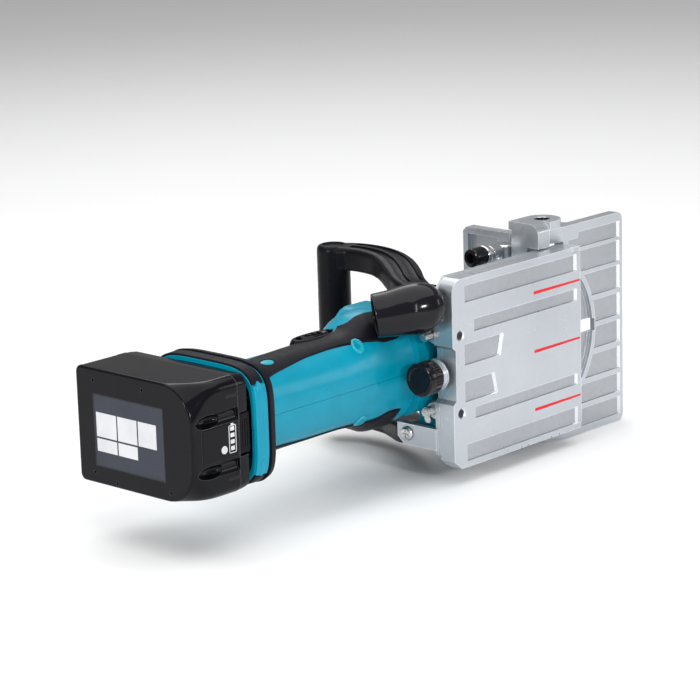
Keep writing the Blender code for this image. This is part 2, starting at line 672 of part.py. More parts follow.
def make_brush_gear():
    plate = tube("x", (MOTOR_Y, 0), -251.0, -246.0, 24.0, 9.8, 40)
    for side in (-1, 1):
        cut(plate, box((-252.0, -238.0), (MOTOR_Y - 3.6, MOTOR_Y + 3.6), sorted((side * 9.0, side * 20.5))))
    finish(plate, "brush_holder", "black_plastic")
    for side, name in ((-1, "left"), (1, "right")):
        brush = box((-249.0, -241.0), (MOTOR_Y - 3.1, MOTOR_Y + 3.1), sorted((side * 9.4, side * 19.0)), 0.3)
        finish(brush, f"carbon_brush_{name}", "carbon")


def make_electrics():
    board = box((-291.6, -289.8), (75.0, 97.0), (-22.0, 22.0))
    finish(board, "controller_board", "board_green")
    switch = box((-288.0, -266.0), (62.0, 74.0), (-18.0, -8.0), 0.6)
    finish(switch, "main_switch", "black_plastic")
    terminal = box((-303.0, -293.0), (46.0, 72.0), (-17.0, 17.0), 0.8)
    for z in (-12.0, 0.0, 12.0):
        cut(terminal, box((-304.0, -297.0), (45.0, 64.0), (z - 1.2, z + 1.2)))
    finish(terminal, "terminal_block", "black_plastic")


# ---------------------------------------------------------------- battery

def make_battery():
    rails_x = HOUSING_REAR_X - GAP
    shell_sections = [(BATTERY_REAR_X, BATTERY_Y, 45.7, 31.5, 5.0),
                      (BATTERY_REAR_X + 3.0, BATTERY_Y, 49.7, 35.6, 5.0),
                      (BATTERY_REAR_X + 8.0, BATTERY_Y, 51.1, 36.8, 5.0),
                      (-316.0, BATTERY_Y, 51.1, 37.1, 5.0)]
    lower = loft_x(shell_sections, 32)
    cut(lower, loft_x([(BATTERY_REAR_X + 2.4, BATTERY_Y, 47.2, 33.2, 5.0),
                       (BATTERY_REAR_X + 8.0, BATTERY_Y, 48.7, 34.4, 5.0),
                       (-314.0, BATTERY_Y, 48.7, 34.7, 5.0)], 32))
    cut(lower, box((-330.0, -300.0), (10.0, 26.0), (-16.0, 16.0)))
    finish(lower, "battery_case_lower", "gloss_black")
    upper_sections = [(-315.7, BATTERY_Y, 51.1, 37.1, 5.0), (-309.0, BATTERY_Y, 49.7, 36.0, 5.0),
                      (-304.4, BATTERY_Y, 46.7, 32.0, 5.0), (rails_x, BATTERY_Y, 43.7, 30.0, 5.0)]
    upper = loft_x(upper_sections, 32)
    cut(upper, loft_x([(-320.0, BATTERY_Y, 48.5, 34.5, 5.0), (-309.0, BATTERY_Y, 46.7, 33.0, 5.0),
                       (-306.0, BATTERY_Y, 43.7, 29.0, 5.0)], 32))
    cut(upper, box((-320.0, -300.0), (10.0, 26.0), (-16.0, 16.0)))
    finish(upper, "battery_case_upper", "gloss_black")
    button = box((-315.0, -305.0), (16.6, 23.0), (-13.0, 13.0), 1.0)
    for x in (-312.0, -310.0, -308.0):
        cut(button, box((x - 0.4, x + 0.4), (15.0, 17.3), (-9.0, 9.0)))
    obj = finish(button, "battery_release_button", "black_plastic")
    put_origin(obj, (-310.0, 20.0, 0))
    cells = cylinder("z", (-329.5, 36.5), -29.5, 29.5, 8.8, 24)
    for index in range(1, 4):
        join(cells, cylinder("z", (-329.5, 36.5 + 17.5 * index), -29.5, 29.5, 8.8, 24))
    finish(cells, "cell_block", "label_grey")
    gauge = box((-338.0, -318.6), (14.6, 15.5), (-14.0, 10.0), 0.3)
    finish(gauge, "charge_gauge", "label_grey")


# ---------------------------------------------------------------- handle and nozzle

ARM_PATH = [(-120.0, 38.0, 46.5), (-117.0, 52.0, 49.3), (-104.0, 68.0, 50.8), (-93.0, 84.0, 52.5),
            (-87.0, 100.0, 54.0), (-84.5, 116.0, 54.5), (-86.0, 130.0, 54.5), (BAR_X, BAR_Y, 54.5)]


def make_d_handle():
    """A bar above the motor, carried by two arms that curve up from the base's ears."""
    bar = cylinder("z", (BAR_X, BAR_Y), -HANDLE_HALF_Z, HANDLE_HALF_Z, BAR_RADIUS, 32)
    widths = [(10.5, 7.0), (12.0, 7.2), (12.8, 7.8), (13.0, 8.0), (12.5, 8.2), (12.0, 8.6), (11.6, 9.0),
              (11.2, 9.3)]
    for side in (-1, 1):
        path = [(x, y, side * z) for x, y, z in ARM_PATH]
        join(bar, swept(path, widths, 3.0, 16))
        foot_z = sorted((side * 38.5, side * 54.0))
        join(bar, box((-130.9, -109.0), (31.5, 46.5), foot_z))
        cut(bar, cylinder("x", (39.8, side * 44.2), -140.0, -118.0, 2.2, 20))
    finish(bar, "d_handle", "black_plastic")
    for side, name in ((-1, "left"), (1, "right")):
        screw = cylinder("x", (39.8, side * 44.2), -138.2, -136.3, 4.9, 28)
        join(screw, cylinder("x", (39.8, side * 44.2), -136.6, -119.0, 1.9, 20))
        for turn in (0, 90):
            bar_cut = box((-139.0, -137.4), (-2.6, 2.6), (-0.5, 0.5))
            bar_cut.data.transform(bmesh_turn("x", turn).to_4x4())
            for vertex in bar_cut.data.vertices:
                vertex.co.y += 39.8 * MM
                vertex.co.z += side * 44.2 * MM
            cut(screw, bar_cut)
        finish(screw, f"handle_screw_{name}", "steel")


def make_nozzle():
    """Dust nozzle: an elbow from the blade chamber's outlet, up and back to an open mouth."""
    path = [(-140.4, 12.9, 46.2), (-145.0, 14.2, 46.8), (-151.0, 19.5, 46.2), (-160.0, 27.2, 44.6),
            (-170.0, 36.0, 43.0)]
    outer_widths = [(11.2, 12.0), (13.8, 15.5), (16.6, 16.8), (15.4, 15.4), (14.2, 14.2)]
    nozzle = swept(path, outer_widths, 2.0, 20)
    inner_path = path[:-1] + [(-175.0, 40.4, 42.2)]
    inner_path[0] = (-136.0, 12.0, 46.0)
    inner_widths = [(8.0, 9.0), (11.3, 13.0), (14.0, 14.2), (13.2, 13.2), (12.0, 12.0)]
    cut(nozzle, swept(inner_path, inner_widths, 2.0, 20))
    finish(nozzle, "dust_nozzle", "gloss_black")


# ---------------------------------------------------------------- fence and angle guide

def make_fence():
    """Upright frame that slides up the base's posts, with a window for the gear housing's nose."""
    outline = [(22.0, 64.2), (56.0, 64.2), (56.0, 70.0), (FENCE_TOP_Y - 3, 70.0), (FENCE_TOP_Y, 67.0)]
    outline = outline + [(y, -z) for y, z in reversed(outline)]
    fence = extruded(outline, "yz", FENCE_BACK_X, FENCE_FRONT_X)
    cut(fence, box((-20.0, -5.0), (18.0, 85.0), (-30.0, 30.0)))
    for side in (-1, 1):
        panel = sorted((side * 46.0, side * 65.5))
        cut(fence, box((-18.0, -13.0), (58.5, 86.0), panel))
    join(fence, box((-29.6, FENCE_BACK_X + 0.5), (22.4, 35.8), (47.0, 66.0)))
    tab_outline = [(-30.0, 38.0), (-30.0, 12.0)]
    for index in range(25):
        angle = -math.pi / 2 + math.pi * index / 24
        tab_outline.append((HINGE_X + 13.0 * math.cos(angle), HINGE_Y + 0.1 + 13.0 * math.sin(angle)))
    join(fence, extruded(tab_outline, "xy", 76.0, PIVOT_TOP_Z))
    join(fence, box((-29.8, -17.3), (12.4, 35.6), (65.0, 77.0)))
    cut(fence, cylinder("z", (HINGE_X, HINGE_Y), 58.0, 90.0, 3.4, 24))
    cut(fence, frustum("z", (HINGE_X, HINGE_Y), 78.2, 82.4, 2.9, 5.6, 32))
    join(fence, box((-16.6, HINGE_X + 6.5), (22.9, 34.0), (-64.0, -56.0)))
    cut(fence, cylinder("z", (HINGE_X, HINGE_Y), -66.0, -58.0, 3.4, 24))
    finish(fence, "fence_body", "cast_aluminium")


def make_rack_and_pinion():
    """Rack on the fence's back; a pinion shaft through the left post, turned by a knob."""
    module, teeth = 1.0, 12
    pitch = math.pi * module
    pinion_x, pinion_y = -27.0, 62.0
    line_x = pinion_x + module * teeth / 2
    rack = box((line_x + 1.15, FENCE_BACK_X - GAP), (22.5, 84.0), (-52.0, -46.0))
    count = int((84.0 - 22.5) / pitch)
    for index in range(-count, count):
        y = pinion_y + (index + 0.5) * pitch
        if 23.5 < y < 83.0:
            profile = [(line_x + 1.4, y - 1.05), (line_x - 0.75, y - 0.42), (line_x - 0.75, y + 0.42),
                       (line_x + 1.4, y + 1.05)]
            join(rack, extruded(profile, "xy", -52.0, -46.0))
    finish(rack, "fence_rack", "steel")
    rings = []
    for z in (-52.5, -45.5):
        ring_points = []
        for angle, on_tip in teeth_round(teeth, 0.66, 0.24):
            radius = module * teeth / 2 + (0.75 if on_tip else -1.1)
            ring_points.append((pinion_x + radius * math.cos(angle),
                                pinion_y + radius * math.sin(angle), z))
        rings.append(ring_points)
    pinion = lofted(rings)
    join(pinion, cylinder("z", (pinion_x, pinion_y), -59.0, -31.0, 3.0, 24))
    knob = cylinder("z", (pinion_x, pinion_y), -72.0, -58.3, 8.6, 40)
    for index in range(10):
        angle = 2 * math.pi * index / 10
        centre = (pinion_x + 9.2 * math.cos(angle), pinion_y + 9.2 * math.sin(angle))
        cut(knob, cylinder("z", centre, -74.0, -56.0, 1.1, 8))
    join(knob, pinion)
    obj = finish(knob, "height_knob", "black_plastic")
    put_origin(obj, (pinion_x, pinion_y, -65.0))


def make_fence_lock():
    """Lever that clamps the fence: a chromed arm with a black grip, turning about Z."""
    pivot_x, pivot_y = -24.5, 46.5
    lever = cylinder("z", (pivot_x, pivot_y), 53.5, 64.2, 6.8, 32)
    join(lever, frustum("x", (pivot_y, 60.0), -41.0, pivot_x, 5.4, 4.0, 28))
    obj = finish(lever, "fence_lock_lever", "steel")
    put_origin(obj, (pivot_x, pivot_y, 60.0))
    sleeve = cylinder("x", (pivot_y, 60.0), -60.5, -41.3, 6.6, 32)
    cut(sleeve, cylinder("x", (pivot_y, 60.0), -62.0, -52.0, 3.6, 24))
    finish(sleeve, "lock_lever_grip", "black_plastic")


def make_angle_guide():
    """Flat guide folded forward, ribbed underneath, with an arc relieved for the blade."""
    low, high = GUIDE_FACE_Y, GUIDE_FACE_Y + 8.0
    outline = [(0.6, GUIDE_HALF), (GUIDE_REACH - 5, GUIDE_HALF), (GUIDE_REACH, GUIDE_HALF - 5)]
    outline = outline + [(x, -z) for x, z in reversed(outline)]
    guide = extruded(outline, "xz", low, high)
    panels = ((58.5, 68.5), (41.0, 55.0), (21.7, 37.1), (2.2, 17.0), (-16.6, -2.2), (-36.3, -21.7),
              (-53.5, -41.1), (-69.8, -58.3))
    for low_z, high_z in panels:
        cut(guide, box((20.0, GUIDE_REACH - 4.7), (low - 1.0, low + 0.9), (low_z, high_z)))
    arc_radius = 56.0
    cut(guide, cylinder("y", (SPINDLE_X + PLUNGE + 5.5, 0), low - 1.0, low + 1.6, arc_radius, 96))
    cut(guide, box((20.0, GUIDE_REACH - 4.0), (low + 4.0, high + 1.0), (-70.0, 70.0)))
    for z in (-48.0, -24.0, 0.0, 24.0, 48.0):
        join(guide, box((19.0, GUIDE_REACH - 3.5), (low + 3.5, high - 0.5), (z - 1.3, z + 1.3)))
    cut(guide, box((24.0, 31.0), (low - 2.0, high + 2.0), (-3.8, 4.6)))
    for side in (-1, 1):
        near_z, far_z = 64.7, 75.2
        outline = [(17.0, low), (17.0, low + 4.0), (12.0, 28.0), (10.0, 34.5), (5.5, 34.5), (1.5, 31.0)]
        for index in range(9):
            angle = math.pi / 2 + math.pi * index / 8
            outline.append((HINGE_X + 6.2 * math.cos(angle), HINGE_Y + 6.2 * math.sin(angle)))
        outline.append((0.5, low))
        ear = extruded(outline, "xy", *sorted((side * near_z, side * far_z)))
        join(guide, ear)
        cut(guide, cylinder("z", (HINGE_X, HINGE_Y), *sorted((side * 60.0, side * 80.0)), 3.4, 24))
    obj = finish(guide, "angle_guide", "cast_aluminium")
    put_origin(obj, (HINGE_X, HINGE_Y, 0))


def make_guide_pivots():
    bolt = cylinder("z", (HINGE_X, HINGE_Y), 58.8, 79.0, 3.0, 24)
    join(bolt, frustum("z", (HINGE_X, HINGE_Y), 78.6, 81.4, 2.9, 4.9, 32))
    cut(bolt, cylinder("z", (HINGE_X, HINGE_Y), 79.6, 82.0, 2.2, 6))
    finish(bolt, "guide_pivot_bolt", "steel")
    pin = cylinder("z", (HINGE_X, HINGE_Y), -74.9, -59.0, 3.0, 24)
    finish(pin, "guide_pivot_pin", "steel")


def build():
    make_base()
    make_cover()
    make_cover_hinge_pins()
    make_cover_clamp()
    make_guide_rods()
    make_blade()
    make_spindle()
    make_gears()
    make_bearings()
    make_gear_housing()
    make_shaft_lock()
    make_depth_stop()
    make_motor_housings()
    make_grips()
    make_slide_switch()
    make_bumper()
    make_motor()
    make_brush_gear()
    make_electrics()
    make_battery()
    make_d_handle()
    make_nozzle()
    make_fence()
    make_rack_and_pinion()
    make_fence_lock()
    make_angle_guide()
    make_guide_pivots()


clear_scene()
MODEL = new_collection("biscuit_joiner")
CUTTERS = new_collection("cutters")
WORK = new_collection("work")
FRAME = bpy.data.objects.new("tool_frame", None)
FRAME.location = Vector(ORIGIN) * -MM
MODEL.objects.link(FRAME)
build()
for collection_object in CUTTERS.objects:
    collection_object.parent = FRAME
bpy.data.collections.remove(WORK)
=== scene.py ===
import math

import bmesh
import bpy
from mathutils import Matrix, Vector


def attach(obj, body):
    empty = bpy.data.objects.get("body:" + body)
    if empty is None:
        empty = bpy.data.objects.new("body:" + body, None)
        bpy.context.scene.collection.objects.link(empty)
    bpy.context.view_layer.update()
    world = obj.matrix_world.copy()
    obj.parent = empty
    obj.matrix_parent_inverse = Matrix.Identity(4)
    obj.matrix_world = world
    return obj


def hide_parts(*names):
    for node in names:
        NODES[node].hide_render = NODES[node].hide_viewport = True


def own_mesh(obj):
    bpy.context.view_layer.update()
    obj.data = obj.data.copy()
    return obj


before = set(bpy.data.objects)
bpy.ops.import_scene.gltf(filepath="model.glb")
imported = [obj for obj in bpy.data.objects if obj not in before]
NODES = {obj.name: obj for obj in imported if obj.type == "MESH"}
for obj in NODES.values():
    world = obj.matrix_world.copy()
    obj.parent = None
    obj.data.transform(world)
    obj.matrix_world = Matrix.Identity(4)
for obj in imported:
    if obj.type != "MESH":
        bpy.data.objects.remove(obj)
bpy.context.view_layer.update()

# Shapes are written in millimetres from the middle of the base's front lower edge: X forward, Y up in
# use, Z towards the tool's right side. This is where that point lies in the row frame.
OFFSET = Vector((144.5, -77.25, 75.2))
MM = 0.001

SIDES = ((-1, "left"), (1, "right"))
SMOOTH_ANGLE = 38                   # degrees; sharper edges stay creased or are bevelled
HINGE_LINE = (-10.0, 24.9)          # (x, y) of the angle guide's hinge
SWITCH_X, SWITCH_Y = -195.0, 66.0
CLAMP_Y = 13.0
SHELL_WALL, SPLIT_GAP = 2.6, 0.12   # the motor housing's halves
FLANGE_X = -96.0                    # the gear housing is teal behind this
HOLDER_REAR = -303.0
HANDLE_BAR = (-93.0, 143.0)         # (x, y) of the front handle's bar
SCREW_Y, SCREW_Z = 39.8, 44.2       # the handle's two screws
ROD_Y, ROD_Z = 19.5, 25.5           # the guide rods and return springs
LEVER_Y, LEVER_Z = 46.5, 60.0       # the fence's lock lever


# ---- materials

class Shader:
    """A Principled material with short helpers for its texture nodes."""

    def __init__(self, name, colour, roughness, metallic=0.0, **sockets):
        self.material = bpy.data.materials.new(name)
        self.material.use_nodes = True
        self.tree = self.material.node_tree
        self.main = self.tree.nodes["Principled BSDF"]
        sockets.update(Base_Color=(*colour, 1), Roughness=roughness, Metallic=metallic)
        for socket, value in sockets.items():
            self.main.inputs[socket.replace("_", " ")].default_value = value
        self.colour = colour
        self.place = self.tree.nodes.new("ShaderNodeTexCoord").outputs["Object"]
        self.bump = None

    def node(self, kind, **values):
        made = self.tree.nodes.new(kind)
        for key, value in values.items():
            if key in made.inputs:
                made.inputs[key].default_value = value
            else:
                setattr(made, key, value)
        return made

    def link(self, source, target):
        self.tree.links.new(source, target)

    def noise(self, scale, detail=3.0, stretch=(1, 1, 1)):
        mapping = self.node("ShaderNodeMapping", Scale=stretch)
        self.link(self.place, mapping.inputs["Vector"])
        texture = self.node("ShaderNodeTexNoise", Scale=scale, Detail=detail)
        self.link(mapping.outputs["Vector"], texture.inputs["Vector"])
        return texture.outputs["Fac"]

    def spread(self, source, low, high, start=0.3, end=0.7):
        """Maps a 0 to 1 pattern onto low to high."""
        limits = {"From Min": start, "From Max": end, "To Min": low, "To Max": high}
        mapped = self.node("ShaderNodeMapRange", **limits)
        self.link(source, mapped.inputs["Value"])
        return mapped.outputs["Result"]

    def vary_roughness(self, source, low, high):
        self.link(self.spread(source, low, high), self.main.inputs["Roughness"])

    def vary_colour(self, source, darker, lighter):
        """Blends the colour between two multiples of itself."""
        mix = self.node("ShaderNodeMix", data_type="RGBA")
        mix.inputs[6].default_value = (*(c * darker for c in self.colour), 1)
        mix.inputs[7].default_value = (*(min(1, c * lighter + 0.001) for c in self.colour), 1)
        self.link(self.spread(source, 0, 1), mix.inputs[0])
        self.link(mix.outputs[2], self.main.inputs["Base Color"])

    def edge_wear_and_highlight(self, colour, amount=0.6, radius=0.0007):
        """Lighter edges, found where the surface turns within a short distance: rubbed wear, and a painted
        highlight where the edge colour is near white or pale grey.
        """
        geometry = self.node("ShaderNodeNewGeometry")
        rounded = self.node("ShaderNodeBevel", samples=8, Radius=radius)
        turn = self.node("ShaderNodeVectorMath", operation="DOT_PRODUCT")
        self.link(geometry.outputs["Normal"], turn.inputs[0])
        self.link(rounded.outputs["Normal"], turn.inputs[1])
        edge = self.spread(turn.outputs["Value"], 0, amount, 0.96, 0.78)
        current = self.main.inputs["Base Color"]
        mix = self.node("ShaderNodeMix", data_type="RGBA")
        if current.is_linked:
            self.link(current.links[0].from_socket, mix.inputs[6])
        else:
            mix.inputs[6].default_value = (*self.colour, 1)
        mix.inputs[7].default_value = (*colour, 1)
        self.link(edge, mix.inputs[0])
        self.link(mix.outputs[2], current)

    def add_bump(self, source, strength, distance):
        bump = self.node("ShaderNodeBump", Strength=strength, Distance=distance)
        self.link(source, bump.inputs["Height"])
        if self.bump:
            self.link(self.bump.outputs["Normal"], bump.inputs["Normal"])
        self.link(bump.outputs["Normal"], self.main.inputs["Normal"])
        self.bump = bump


def moulded(name, colour, roughness, grain=0.25, edge_wear_and_highlight_colour=None, coat=0.0):
    """Injection-moulded plastic: faint mottling, fine spark-eroded grain, lighter edges: rubbed wear on
    most mouldings and a painted highlight on the pack.
    """
    shader = Shader(name, colour, roughness, Coat_Weight=coat, Coat_Roughness=0.12,
                    Specular_IOR_Level=0.09 if max(colour) < 0.03 else 0.2)
    shader.vary_colour(shader.noise(60, 4), 0.93, 1.06)
    shader.vary_roughness(shader.noise(140, 5), roughness * 0.85, roughness * 1.2)
    shader.add_bump(shader.noise(4200, 2), grain, 0.00006)
    shader.add_bump(shader.noise(90, 2), grain * 0.3, 0.0002)
    if edge_wear_and_highlight_colour:
        shader.edge_wear_and_highlight(edge_wear_and_highlight_colour, 0.35)
    return shader.material


def cast_metal(name, colour, roughness, painted_edge_highlight=True):
    """Silver-lacquered die casting: orange peel, faint flow marks, and near-white edges that are a painted
    highlight.
    """
    shader = Shader(name, colour, roughness, 0.85, Coat_Weight=0.25, Coat_Roughness=0.2)
    shader.vary_colour(shader.noise(11, 5, (1, 2.5, 1)), 0.92, 1.07)
    shader.vary_roughness(shader.noise(320, 4), roughness * 0.82, roughness * 1.25)
    shader.add_bump(shader.noise(1500, 2), 0.12, 0.00005)
    shader.add_bump(shader.noise(60, 2), 0.1, 0.0002)
    if painted_edge_highlight:
        # near-white edge colour: painted highlight on the casting's edges
        shader.edge_wear_and_highlight((0.96, 0.97, 0.99), 1.0, 0.0011)
    return shader.material


def machined(name, colour, roughness, stretch=(1, 14, 14)):
    """Bare metal with fine tool lines."""
    shader = Shader(name, colour, roughness, 1.0)
    shader.vary_colour(shader.noise(30, 3), 0.9, 1.08)
    shader.vary_roughness(shader.noise(110, 5, stretch), roughness * 0.7, roughness * 1.4)
    shader.add_bump(shader.noise(260, 4, stretch), 0.15, 0.00006)
    return shader.material


def rubbery(name, colour, roughness):
    shader = Shader(name, colour, roughness, Specular_IOR_Level=0.12)
    shader.vary_colour(shader.noise(45, 4), 0.85, 1.2)
    shader.vary_roughness(shader.noise(200, 4), roughness * 0.85, roughness * 1.12)
    cells = shader.node("ShaderNodeTexVoronoi", Scale=1700)
    shader.link(shader.place, cells.inputs["Vector"])
    shader.add_bump(cells.outputs["Distance"], 0.28, 0.00009)
    return shader.material


MATERIALS = {
    "cast": cast_metal("silver_casting", (0.51, 0.54, 0.58), 0.33),
    # darker casting for recess floors: painted shade
    "cast_painted_shade": cast_metal("silver_casting_painted_recess_shade", (0.41, 0.43, 0.46), 0.42),
    # near-white casting for ramps and bevels: painted highlight
    "cast_painted_highlight": cast_metal("silver_casting_painted_highlight", (0.74, 0.76, 0.79), 0.3, False),
    "steel": machined("turned_steel", (0.60, 0.60, 0.59), 0.28),
    "chrome": machined("polished_steel", (0.78, 0.78, 0.79), 0.12),
    "blade": machined("ground_blade_steel", (0.64, 0.64, 0.63), 0.24, (1, 1, 1)),
    "brass": machined("turned_brass", (0.72, 0.52, 0.22), 0.28),
    "copper": machined("lacquered_copper", (0.72, 0.33, 0.17), 0.34),
    "teal": moulded("teal_moulding", (0.000, 0.26, 0.38), 0.32, 0.2, (0.02, 0.38, 0.52), 0.1),
    "teal_light": moulded("pale_teal_moulding", (0.02, 0.36, 0.46), 0.3, 0.15, None, 0.3),
    "black": moulded("black_moulding", (0.005, 0.005, 0.007), 0.3, 0.3, (0.06, 0.06, 0.065)),
    "gloss": moulded("gloss_black_moulding", (0.005, 0.0047, 0.007), 0.15, 0.08, (0.05, 0.05, 0.06), 0.35),
    # The pack's pale grey edge colour is a painted highlight along its corners and lobes; the other
    # mouldings' slightly lighter edges are rubbed wear.
    "battery": moulded("battery_moulding", (0.003, 0.003, 0.005), 0.13, 0.08, (0.26, 0.27, 0.29), 0.12),
    "rubber": rubbery("soft_grip", (0.006, 0.006, 0.010), 0.45),
    "carbon": rubbery("pressed_carbon", (0.05, 0.05, 0.055), 0.8),
    "board": moulded("circuit_board", (0.02, 0.16, 0.07), 0.4, 0.3),
    "label": moulded("label_film", (0.035, 0.040, 0.055), 0.42, 0.08),
    "label_pale": moulded("label_pale_print", (0.60, 0.61, 0.63), 0.45, 0.05),
    "lamp": moulded("indicator_print", (0.62, 0.63, 0.64), 0.5, 0.05),
    "red": moulded("red_index_paint", (0.70, 0.02, 0.03), 0.5, 0.1),
    "cell": moulded("cell_sleeve", (0.06, 0.12, 0.2), 0.4, 0.1),
}

CAD_LOOKS = {
    "cast": ("base_casting", "gear_housing", "fence_body"),
    "steel": ("cover_hinge_pin_left", "cover_hinge_pin_right", "guide_rod_left", "guide_rod_right",
              "spindle", "inner_flange", "lock_nut",
              "bevel_pinion", "bevel_gear", "spindle_bearing", "armature_bearing_front",
              "armature_bearing_rear", "depth_adjusting_screw", "motor_yoke", "armature_core",
              "armature_shaft", "fence_rack", "guide_pivot_pin"),
    "blade": ("blade",),
    "brass": ("stopper_turret",),
    "copper": ("armature_windings", "commutator"),
    "black": ("cooling_fan", "brush_holder", "main_switch", "terminal_block", "shaft_lock_button"),
    "carbon": ("carbon_brush_left", "carbon_brush_right", "field_magnet_left", "field_magnet_right"),
    "board": ("controller_board",),
    "cell": ("cell_block",),
}


# ---- mesh helpers

def add_object(name, data):
    obj = bpy.data.objects.new(name, data)
    bpy.context.scene.collection.objects.link(obj)
    return obj


def to_object(name, bm, look, smooth=SMOOTH_ANGLE):
    """Turns a bmesh in tool millimetres into an object in the row frame."""
    bmesh.ops.recalc_face_normals(bm, faces=bm.faces)
    bmesh.ops.translate(bm, vec=OFFSET, verts=bm.verts)
    bmesh.ops.scale(bm, vec=(MM, MM, MM), verts=bm.verts)
    mesh = bpy.data.meshes.new(name)
    bm.to_mesh(mesh)
    bm.free()
    mesh.shade_smooth()
    mesh.set_sharp_from_angle(angle=math.radians(smooth))
    if look:
        mesh.materials.append(MATERIALS[look])
    return add_object(name, mesh)


def add_bevel(obj, width, segments=2):
    modifier = obj.modifiers.new("edges", "BEVEL")
    modifier.width, modifier.segments = width * MM, segments
    modifier.limit_method, modifier.angle_limit = "ANGLE", math.radians(SMOOTH_ANGLE)


def box(x, y, z, bevel=0.0):
    bm = bmesh.new()
    bmesh.ops.create_cube(bm, size=1)
    bmesh.ops.scale(bm, vec=(x[1] - x[0], y[1] - y[0], z[1] - z[0]), verts=bm.verts)
    bmesh.ops.translate(bm, vec=((x[0] + x[1]) / 2, (y[0] + y[1]) / 2, (z[0] + z[1]) / 2), verts=bm.verts)
    if bevel:
        bmesh.ops.bevel(bm, geom=bm.edges[:], offset=bevel, segments=3, affect="EDGES", profile=0.5)
    return bm


AXES = {"x": Vector((1, 0, 0)), "y": Vector((0, 1, 0)), "z": Vector((0, 0, 1))}


def turn_angles(count):
    """Angles evenly spaced round a full turn."""
    return [2 * math.pi * index / count for index in range(count)]


def arc(x, y, radius, start, end, steps):
    """The points of an arc between two angles in degrees."""
    angles = [math.radians(start + (end - start) * index / steps) for index in range(steps + 1)]
    return [(x + radius * math.cos(angle), y + radius * math.sin(angle)) for angle in angles]


def turned(axis, centre, profile, sides=64, flute=None):
    """A turned solid: profile is (distance along the axis, radius) from end to end.

    flute(along, radius, index) may change the radius of single corners, as on a knurled rim.
    """
    first, second = [AXES[a] for a in "xyz" if a != axis]
    base = first * centre[0] + second * centre[1]
    rings = []
    for along, radius in profile:
        ring = []
        for index, angle in enumerate(turn_angles(sides)):
            size = flute(along, radius, index) if flute else radius
            ring.append(base + AXES[axis] * along + first * size * math.cos(angle)
                        + second * size * math.sin(angle))
        rings.append(ring)
    return ring_loft(rings)


def ring_loft(rings, ends="capped"):
    """Joins rings of points into a closed skin, whose ends are capped or joined to each other."""
    bm = bmesh.new()
    rows = [[bm.verts.new(point) for point in ring] for ring in rings]
    pairs = list(zip(rows, rows[1:]))
    if ends == "joined":
        pairs.append((rows[-1], rows[0]))
    for row, following in pairs:
        for index in range(len(row)):
            after = (index + 1) % len(row)
            bm.faces.new((row[index], row[after], following[after], following[index]))
    if ends == "capped":
        bm.faces.new(rows[0])
        bm.faces.new(rows[-1])
    return bm


def prism(points, plane, low, high):
    third = [a for a in "xyz" if a not in plane][0]
    rings = []
    for level in (low, high):
        rings.append([AXES[plane[0]] * a + AXES[plane[1]] * b + AXES[third] * level for a, b in points])
    return ring_loft(rings)


def merge(target, *others):
    """Adds other bmeshes' faces to target."""
    for other in others:
        mesh = bpy.data.meshes.new("merge")
        other.to_mesh(mesh)
        other.free()
        target.from_mesh(mesh)
        bpy.data.meshes.remove(mesh)
    return target


def carve(obj, *cutters):
    """Cuts bmesh shapes out of an object, and applies the cut."""
    return boolean(obj, "DIFFERENCE", cutters)


def weld(obj, *others):
    return boolean(obj, "UNION", others)


def boolean(obj, operation, shapes):
    helpers = []
    for shape in shapes:
        helper = shape if isinstance(shape, bpy.types.Object) else to_object("helper", shape, None)
        helpers.append(helper)
        modifier = obj.modifiers.new("cut", "BOOLEAN")
        modifier.operation = operation
        modifier.object = helper
        modifier.solver = "EXACT"
    graph = bpy.context.evaluated_depsgraph_get()
    mesh = bpy.data.meshes.new_from_object(obj.evaluated_get(graph))
    old = obj.data
    obj.modifiers.clear()
    obj.data = mesh
    bpy.data.meshes.remove(old)
    for helper in helpers:
        data = helper.data
        bpy.data.objects.remove(helper)
        bpy.data.meshes.remove(data)
    obj.data.shade_smooth()
    obj.data.set_sharp_from_angle(angle=math.radians(SMOOTH_ANGLE))
    return obj


def finish_casting(obj, surface, floors, edge):
    """Paints shade onto recess floors with a darker, duller casting material, and paints highlights onto
    groove ramps and bevelled edges with a near-white one.
    """
    for look in ("cast_painted_shade", "cast_painted_highlight"):
        obj.data.materials.append(MATERIALS[look])
    for face in obj.data.polygons:
        depth = face.center.y / MM - OFFSET[1] - surface
        # recess floors get the darker material: painted shade
        if abs(face.normal.y) > 0.9 and any(abs(depth - floor) < 0.1 for floor in floors):
            face.material_index = 1
        # ramps at the grooves' ends get the near-white material: painted highlight
        elif 0 < depth < floors[0] and abs(face.normal.x) > 0.25 and abs(face.normal.y) > 0.3:
            face.material_index = 2
    add_bevel(obj, edge)
    # the bevels' new faces get the near-white material too: painted highlight
    obj.modifiers["edges"].material = 2


def finish_piece(obj, body, slot, *nodes):
    """Evens the shading of flat faces, puts the piece on its body and hides the CAD nodes it stands in
    for; slot is not used.
    """
    obj.modifiers.new("shading", "WEIGHTED_NORMAL").keep_sharp = True
    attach(obj, body)
    if nodes:
        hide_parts(*nodes)
    return obj


def add_piece(name, bm, look, body, slot, *nodes, smooth=SMOOTH_ANGLE):
    """A piece that needs no cutting once it is an object."""
    return finish_piece(to_object(name, bm, look, smooth), body, slot, *nodes)


def squared_circle(angle, power):
    """A point of the unit superellipse; power 2 is a circle, and higher powers are squarer."""
    cosine, sine = math.cos(angle), math.sin(angle)
    return (math.copysign(abs(cosine) ** (2 / power), cosine),
            math.copysign(abs(sine) ** (2 / power), sine))


